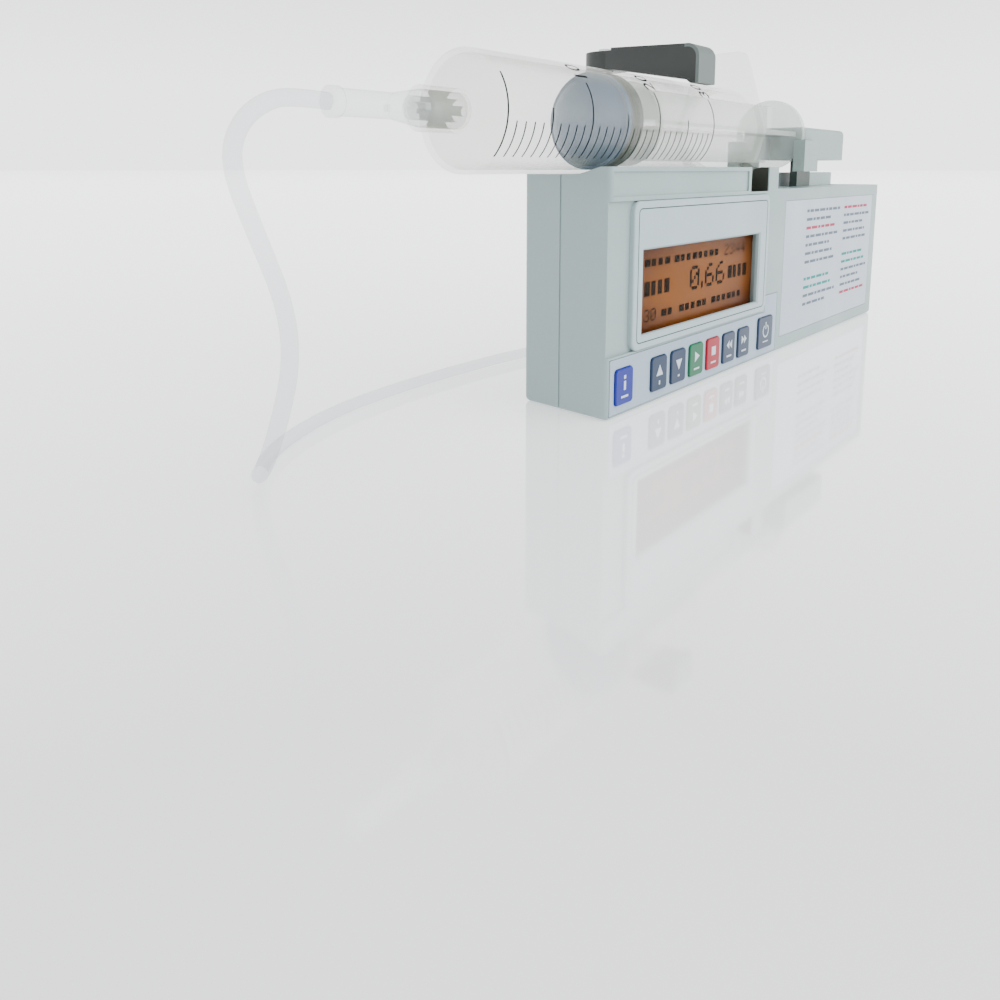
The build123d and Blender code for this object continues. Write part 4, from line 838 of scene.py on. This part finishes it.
@dataclass
class Screen:
    """The dark dots of the display: numbers, and plain blocks that stand for words.

    Attributes:
        columns: Dots across the glass.
        rows: Dots up the glass.
        edge: Blank edge of the glass.
        lift: How far the dots stand off the glass.
        numbers: Each number, its left column, its lowest row and its size.
        words: Each word's left column, lowest row, number of blocks and size.
        block_widths: Widths of a word's blocks, in turn.
        block_pitch: Columns from one block to the next.
        block_rows: The rows that a block fills, at size 1.
    """

    columns: int = 118
    rows: int = 40
    edge: float = 0.0018
    lift: float = 0.03 * MM
    numbers: tuple[tuple[str, int, int, int], ...] = (
        ("23:44", 87, 31, 1),
        ("0.66", 50, 14, 2),
        ("30", 7, 2, 1),
    )
    words: tuple[tuple[int, int, int, int], ...] = (
        (7, 31, 4, 1),
        (34, 31, 8, 1),
        (7, 14, 4, 2),
        (92, 14, 4, 2),
        (23, 2, 2, 1),
        (40, 2, 5, 1),
        (74, 2, 6, 1),
    )
    block_widths: tuple[int, ...] = (5, 4, 4)
    block_pitch: int = 6
    block_rows: tuple[int, int] = (1, 5)

    def write(self, text: str, column: int, row: int, size: int) -> set[tuple[int, int]]:
        """Write a number.

        Args:
            text: The number.
            column: Its left column.
            row: Its lowest row.
            size: Dots of the glass for each dot of the number, both ways.

        Returns:
            Its dark dots, by column and row from the lower left.
        """
        dots = set()
        for mark in text:
            pattern = DIGITS[mark]
            for up, line in enumerate(reversed(pattern)):
                for across, dot in enumerate(line):
                    if dot == "1":
                        left, low = column + across * size, row + up * size
                        dots.update((left + i, low + j) for i in range(size) for j in range(size))
            column += (len(pattern[0]) + 1) * size
        return dots

    def block(self, column: int, row: int, count: int, size: int) -> set[tuple[int, int]]:
        """Fill the blocks that stand for a word.

        Args:
            column: Their left column.
            row: Their lowest row.
            count: Number of blocks.
            size: Rows of the glass for each row of a block.

        Returns:
            Their dark dots, by column and row from the lower left.
        """
        low, high = (edge * size for edge in self.block_rows)
        dots = set()
        for place in range(count):
            left = column + place * self.block_pitch
            wide = self.block_widths[place % len(self.block_widths)]
            dots.update((left + i, row + j) for i in range(wide) for j in range(low, high))
        return dots

    def build(self) -> None:
        """Make the dark dots a hair in front of the glass."""
        low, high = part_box("display_glass")
        width = (high.x - low.x - 2 * self.edge) / self.columns
        height = (high.z - low.z - 2 * self.edge) / self.rows
        dots: set[tuple[int, int]] = set()
        for number in self.numbers:
            dots.update(self.write(*number))
        for word in self.words:
            dots.update(self.block(*word))
        sheet = Sheet()
        for column, row in sorted(dots):
            x = low.x + self.edge + column * width
            z = low.z + self.edge + row * height
            sheet.upright(x, z, x + width, z + height, low.y - self.lift)
        sheet.make("display_dots", Ink.DOT.finish("lcd_amber"), "case")


# ---- keys ---------------------------------------------------------------------------------------
def bar(left: float, low: float, right: float, high: float) -> Outline:
    """A rectangle by its sides."""
    return [(left, low), (right, low), (right, high), (left, high)]


def arrow(tip: float, base: float, level: float, half: float) -> Outline:
    """A sideways triangle by its tip, its base, its level and half its height."""
    return [(base, level - half), (tip, level), (base, level + half)]


@dataclass
class KeyMarks:
    """Plain marks printed on the keys: arrows, bars, a ring and a dot.

    Attributes:
        lift: How far the print stands off the cap.
        flange: Width of the flange round a key's cap.
        ring_arc: Where the power key's open ring starts and how far it goes, in degrees.
        ring_steps: Straight pieces in the ring.
        ring_radii: Its outer and inner radius, in half widths of the cap.
        ring_rise: How far it stands above the cap's middle, in half heights.
    """

    lift: float = 0.03 * MM
    flange: float = 0.5 * MM
    ring_arc: tuple[float, float] = (120, 300)
    ring_steps: int = 28
    ring_radii: tuple[float, float] = (0.42, 0.32)
    ring_rise: float = 0.1

    def shapes(self) -> dict[str, list[Outline]]:
        """Draw the marks.

        Returns:
            Each key's outlines, in half widths and half heights of its cap.
        """
        foot = bar(-0.4, -0.62, 0.4, -0.5)
        return {
            "info": [bar(-0.12, -0.2, 0.12, 0.3), bar(-0.12, 0.42, 0.12, 0.62), foot],
            "up": [[(-0.42, -0.12), (0.42, -0.12), (0.0, 0.52)], bar(-0.08, -0.66, 0.08, -0.42)],
            "down": [[(-0.42, 0.42), (0.0, -0.22), (0.42, 0.42)], bar(-0.12, -0.62, 0.12, -0.5)],
            "start": [arrow(0.4, -0.3, 0.2, 0.34), foot],
            "stop": [bar(-0.32, -0.1, 0.32, 0.46), foot],
            "back": [arrow(-0.45, 0.0, 0.2, 0.3), arrow(0.0, 0.45, 0.2, 0.3), foot],
            "forward": [arrow(0.0, -0.45, 0.2, 0.3), arrow(0.45, 0.0, 0.2, 0.3), foot],
            "power": [bar(-0.06, 0.2, 0.06, 0.66), bar(-0.36, -0.62, 0.36, -0.54)],
        }

    def ring(self, sheet: Sheet, middle: Vector, front: float, half_width: float) -> None:
        """Add the power key's open ring to its print.

        Args:
            sheet: The print.
            middle: The ring's middle.
            front: Its Y.
            half_width: Half the cap's width.
        """
        start, sweep = self.ring_arc
        outer, inner = (share * half_width for share in self.ring_radii)
        angles = [
            math.radians(start + sweep * step / self.ring_steps)
            for step in range(self.ring_steps + 1)
        ]
        for first, second in zip(angles, angles[1:]):
            corners = ((inner, first), (outer, first), (outer, second), (inner, second))
            flat = [(r * math.cos(angle), r * math.sin(angle)) for r, angle in corners]
            sheet.polygon([(middle.x + x, front, middle.z + z) for x, z in flat])

    def build(self) -> None:
        """Print each key's mark."""
        for kind, outlines in self.shapes().items():
            node = f"key_{kind}"
            low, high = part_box(node)
            middle = (low + high) / 2
            half_width = (high.x - low.x) / 2 - self.flange
            half_height = (high.z - low.z) / 2 - self.flange
            front = low.y - self.lift
            sheet = Sheet()
            for outline in outlines:
                sheet.polygon(
                    [
                        (middle.x + x * half_width, front, middle.z + z * half_height)
                        for x, z in outline
                    ]
                )
            if kind == "power":
                rise = Vector((0, 0, self.ring_rise * half_height))
                self.ring(sheet, middle + rise, front, half_width)
            sheet.make(f"mark_{kind}", Ink.WHITE.finish(NODE_FINISHES[node].slot), f"{node}_body")


# ---- syringe scale ------------------------------------------------------------------------------
class Tick(Enum):
    """The kinds of line on the scale: the angle where each ends, and its width."""

    TEN = (34, 0.42 * MM)
    FIVE = (4, 0.36 * MM)
    ONE = (-10, 0.34 * MM)

    @classmethod
    def at(cls, volume: int) -> "Tick":
        """The kind of line at a volume in millilitres."""
        return cls.TEN if volume % 10 == 0 else cls.FIVE if volume % 5 == 0 else cls.ONE


@dataclass
class BarrelScale:
    """The volume scale printed round the near side of the barrel.

    Angles are counted up from the barrel's front, in degrees.

    Attributes:
        zero: X of the zero line.
        pitch: Distance between millilitre lines.
        volume: Millilitres on the scale.
        radius: Outside radius of the barrel.
        axis: Y and Z of the barrel's axis.
        lift: How far the ink stands off the barrel.
        start: Angle where every line starts.
        arc_step: Angle of one straight piece of a line.
        number_angle: Angle of the numbers.
        digit: Height of a digit.
    """

    zero: float = -0.1135
    pitch: float = 0.00247
    volume: int = 30
    radius: float = 0.0113
    axis: tuple[float, float] = (0.0013, 0.0628)
    lift: float = 0.02 * MM
    start: float = -46
    arc_step: float = 4
    number_angle: float = 50
    digit: float = 0.0042

    def around(self, x: float, degrees: float) -> Point:
        """Find a point on the barrel.

        Args:
            x: Place along the barrel.
            degrees: Angle.

        Returns:
            The point.
        """
        reach = self.radius + self.lift
        angle = math.radians(degrees)
        across, up = self.axis
        return (x, across - reach * math.cos(angle), up + reach * math.sin(angle))

    def line(self, sheet: Sheet, x: float, end: float, width: float) -> None:
        """Add a line to the print.

        Args:
            sheet: The print.
            x: Its place along the barrel.
            end: The angle where it ends.
            width: Its width.
        """
        sweep = end - self.start
        steps = max(2, int(sweep / self.arc_step))
        angles = [self.start + sweep * step / steps for step in range(steps + 1)]
        left, right = x - width / 2, x + width / 2
        for first, second in zip(angles, angles[1:]):
            corners = ((left, first), (right, first), (right, second), (left, second))
            sheet.polygon([self.around(*corner) for corner in corners])

    def number(self, sheet: Sheet, text: str, x: float) -> None:
        """Add a number that reads with the nozzle held up.

        Args:
            sheet: The print.
            text: The number.
            x: Its place along the barrel.
        """

        def wrap(u: float, v: float) -> Point:
            """Put a flat point on the barrel."""
            return self.around(x - v, self.number_angle + math.degrees(u / self.radius))

        sheet.mesh(lettering(text, self.digit), wrap)

    def build(self) -> None:
        """Print the scale, with a number at each ten but zero."""
        sheet = Sheet()
        for volume in range(self.volume + 1):
            x = self.zero + volume * self.pitch
            tick = Tick.at(volume)
            self.line(sheet, x, *tick.value)
            if tick is Tick.TEN and volume:
                self.number(sheet, str(volume), x)
        sheet.make("barrel_scale", Ink.BLACK.finish("syringe_clear"), "case")


# ---- label print --------------------------------------------------------------------------------
@dataclass
class LabelPrint:
    """Plain bars on the instruction label, standing for its two columns of print.

    Attributes:
        margin: Blank edge of the label.
        indent: Blank strip at the label's left.
        gutter: Half the gap between the columns.
        row_pitch: Distance between rows.
        bar: Height of a bar.
        gap: Gap between two words.
        shortest: Length of the shortest word.
        longer: What each longer kind of word adds to it.
        cut: Share of a row that each shorter kind of row leaves out.
        least: The shortest stub of a word that is worth printing.
        lift: How far the print stands off the label.
    """

    margin: float = 0.003
    indent: float = 0.016
    gutter: float = 0.002
    row_pitch: float = 0.0026
    bar: float = 0.00085
    gap: float = 0.0007
    shortest: float = 0.0018
    longer: float = 0.0009
    cut: float = 0.05
    least: float = 0.001
    lift: float = 0.02 * MM

    def ink(self, row: int, column: int) -> Ink | None:
        """Choose a row's ink, by a pattern that repeats every eleven rows.

        Args:
            row: The row.
            column: The column of print.

        Returns:
            The ink, or nothing for an empty row.
        """
        turn = (row * 7 + column * 3) % 11
        if turn == 5:
            return None
        return {1: Ink.TEAL, 3: Ink.ROSE, 8: Ink.TEAL}.get(turn, Ink.GREY)

    def words(
        self, start: float, end: float, row: int, column: int
    ) -> list[tuple[float, float]]:
        """Share a row out into words of four lengths, and cut it short by up to six parts.

        Args:
            start: Where the row starts.
            end: Where it may end.
            row: The row.
            column: The column of print.

        Returns:
            Where each word starts and ends.
        """
        reach = end - (end - start) * (self.cut * ((row * 5 + column * 2) % 7))
        found = []
        left = start
        while left < reach - self.least:
            kind = (row * 3 + len(found) * 5 + column) % 4
            right = min(left + (self.shortest + self.longer * kind), reach)
            found.append((left, right))
            left = right + self.gap
        return found

    def build(self) -> None:
        """Print the bars, one piece for each ink."""
        low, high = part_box("instruction_label")
        left = low.x + self.indent
        middle = (left + high.x) / 2
        columns = ((left, middle - self.gutter), (middle + self.gutter, high.x - self.margin))
        sheets = {Ink.GREY: Sheet(), Ink.TEAL: Sheet(), Ink.ROSE: Sheet()}
        for row in range(int((high.z - low.z - 2 * self.margin) / self.row_pitch)):
            top = high.z - self.margin - row * self.row_pitch
            for column, (start, end) in enumerate(columns):
                ink = self.ink(row, column)
                if ink is None:
                    continue
                for word, stop in self.words(start, end, row, column):
                    sheets[ink].upright(word, top - self.bar, stop, top, low.y - self.lift)
        for ink, sheet in sheets.items():
            sheet.make(f"label_print_{ink.name.lower()}", ink.finish("label_film"), "case")


# ---- bezel line ---------------------------------------------------------------------------------
@dataclass
class BezelLine:
    """The fine groove that parts the bezel's rim from its face, drawn as a thin dark line of
    painted shade.

    Attributes:
        width: Width of the line.
        inset: How far it lies inside the bezel's edge.
        lift: How far it stands off the bezel's face.
        corner: Radius of its corners.
        steps: Straight pieces in a corner.
    """

    width: float = 0.22 * MM
    inset: float = 1.5 * MM
    lift: float = 0.02 * MM
    corner: float = 1.2 * MM
    steps: int = 6

    def build(self) -> None:
        """Run the dark line of painted shade round the bezel."""
        low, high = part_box("screen_bezel")
        front = low.y - self.lift
        inward = self.inset + self.corner
        left, right = low.x + inward, high.x - inward
        bottom, top = low.z + inward, high.z - inward
        middles = ((right, top), (left, top), (left, bottom), (right, bottom))
        ring = []
        for quarter, (x, z) in enumerate(middles):
            for step in range(self.steps + 1):
                angle = math.pi / 2 * (quarter + step / self.steps)
                ring.append((x, z, math.cos(angle), math.sin(angle)))
        inner = self.corner - self.width
        sheet = Sheet()
        for first, second in zip(ring, ring[1:] + ring[:1]):
            reaches = ((first, inner), (first, self.corner), (second, self.corner), (second, inner))
            sheet.polygon(
                [
                    (x + reach * across, front, z + reach * up)
                    for (x, z, across, up), reach in reaches
                ]
            )
        # The line is painted shade for the groove, made with an ink finish.
        sheet.make("bezel_groove_shade", Ink.LINE.finish("bezel_plastic"), "case")


# ---- stage --------------------------------------------------------------------------------------
@dataclass(frozen=True)
class Softbox:
    """One soft square light, which isn't mirrored by anything.

    Attributes:
        name: Its name.
        place: Where it hangs.
        size: Its side.
        power: Its power in watts.
    """

    name: str
    place: Point
    size: float
    power: float

    def hang(self, target: Point) -> None:
        """Hang the light.

        Args:
            target: What it points at.
        """
        data = bpy.data.lights.new(self.name, "AREA")
        data.size = self.size
        data.energy = self.power
        lamp = bpy.data.objects.new(self.name, data)
        lamp.location = self.place
        aim = Vector(target) - Vector(self.place)
        lamp.rotation_euler = aim.to_track_quat("-Z", "Y").to_euler()
        lamp.visible_glossy = False
        add_to_scene(lamp)


@dataclass
class Studio:
    """The floor, the soft lights and the camera.

    Attributes:
        eye: Place of the camera.
        forward: Where it looks.
        up: Its upward direction.
        lens: Focal length in millimetres on a 36 mm sensor.
        shift: Its sideways and upward shift.
        floor_reach: How far the floor goes on each side.
        floor_drop: How far it lies below the resting face.
        floor_glow: How bright the floor is by itself.
        sky: How bright the surroundings are at the horizon and overhead.
        sky_fade: Heights of the direction where the sky starts and ends to fade.
        target: What the lights point at.
        lamps: The lights.
    """

    eye: Point = (-0.21237, -0.09965, 0.05247)
    forward: Point = (0.7315, 0.6663, -0.1450)
    up: Point = (0.1072, 0.0976, 0.9894)
    lens: float = 27.49
    shift: tuple[float, float] = (-0.0066, -0.2189)
    floor_reach: float = 30.0
    floor_drop: float = 0.05 * MM
    floor_glow: float = 0.7
    sky: tuple[float, float] = (2.9, 0.65)
    sky_fade: tuple[float, float] = (0.1, 0.6)
    target: Point = (-0.03, 0.0, 0.04)
    lamps: tuple[Softbox, ...] = (
        Softbox("overhead_softbox", (0.1, -0.35, 0.9), size=0.6, power=9.0),
        Softbox("front_softbox", (0.2, -0.8, 0.5), size=0.5, power=5.0),
    )

    def camera(self) -> None:
        """Place the camera."""
        data = bpy.data.cameras.new("camera")
        data.lens = self.lens
        data.sensor_width = 36.0
        data.clip_start = 0.005
        data.shift_x, data.shift_y = self.shift
        camera = bpy.data.objects.new("camera", data)
        back = -Vector(self.forward).normalized()
        upward = Vector(self.up)
        upward = (upward - upward.dot(back) * back).normalized()
        turn = Matrix((upward.cross(back), upward, back)).transposed().to_4x4()
        camera.matrix_world = Matrix.Translation(self.eye) @ turn
        add_to_scene(camera)
        bpy.context.scene.camera = camera

    def floor(self) -> None:
        """Lay the white floor, which mirrors a little."""
        reach = self.floor_reach
        mesh = bpy.data.meshes.new("floor")
        corners = [(-reach, -reach, 0), (reach, -reach, 0), (reach, reach, 0), (-reach, reach, 0)]
        mesh.from_pydata(corners, [], [(0, 1, 2, 3)])
        graph = Graph("floor_white")
        graph.set(Base_Color=(0.9, 0.91, 0.92), Roughness=0.06, Metallic=0.45)
        graph.set(Emission_Color=(1.0, 1.0, 1.0), Emission_Strength=self.floor_glow)
        mesh.materials.append(graph.material)
        piece = bpy.data.objects.new("floor", mesh)
        piece.location.z = -self.floor_drop
        add_to_scene(piece)

    def surroundings(self) -> None:
        """Set the pale surroundings, brightest at the horizon."""
        world = bpy.data.worlds.new("studio")
        world.use_nodes = True
        nodes, links = world.node_tree.nodes, world.node_tree.links
        sky = nodes["Background"]
        sky.inputs["Color"].default_value = (0.98, 0.99, 1.0, 1.0)
        direction = nodes.new("ShaderNodeTexCoord").outputs["Generated"]
        height = nodes.new("ShaderNodeSeparateXYZ")
        fade = nodes.new("ShaderNodeMapRange")
        limits = (*self.sky_fade, *self.sky)
        for name, value in zip(("From Min", "From Max", "To Min", "To Max"), limits):
            fade.inputs[name].default_value = value
        links.new(direction, height.inputs["Vector"])
        links.new(height.outputs["Z"], fade.inputs["Value"])
        links.new(fade.outputs["Result"], sky.inputs["Strength"])
        bpy.context.scene.world = world

    def build(self) -> None:
        """Make the stage."""
        self.camera()
        self.floor()
        self.surroundings()
        for lamp in self.lamps:
            lamp.hang(self.target)
        LOG.info("stage: a camera, the floor and %d lights", len(self.lamps))


def main() -> None:
    """Build the looks, piece by piece."""
    logging.basicConfig(level=logging.INFO, format="%(name)s: %(message)s")
    Studio().build()
    InfusionLine().build()
    dress_nodes()
    Screen().build()
    KeyMarks().build()
    BarrelScale().build()
    LabelPrint().build()
    BezelLine().build()


if __name__ == "__main__":
    main()
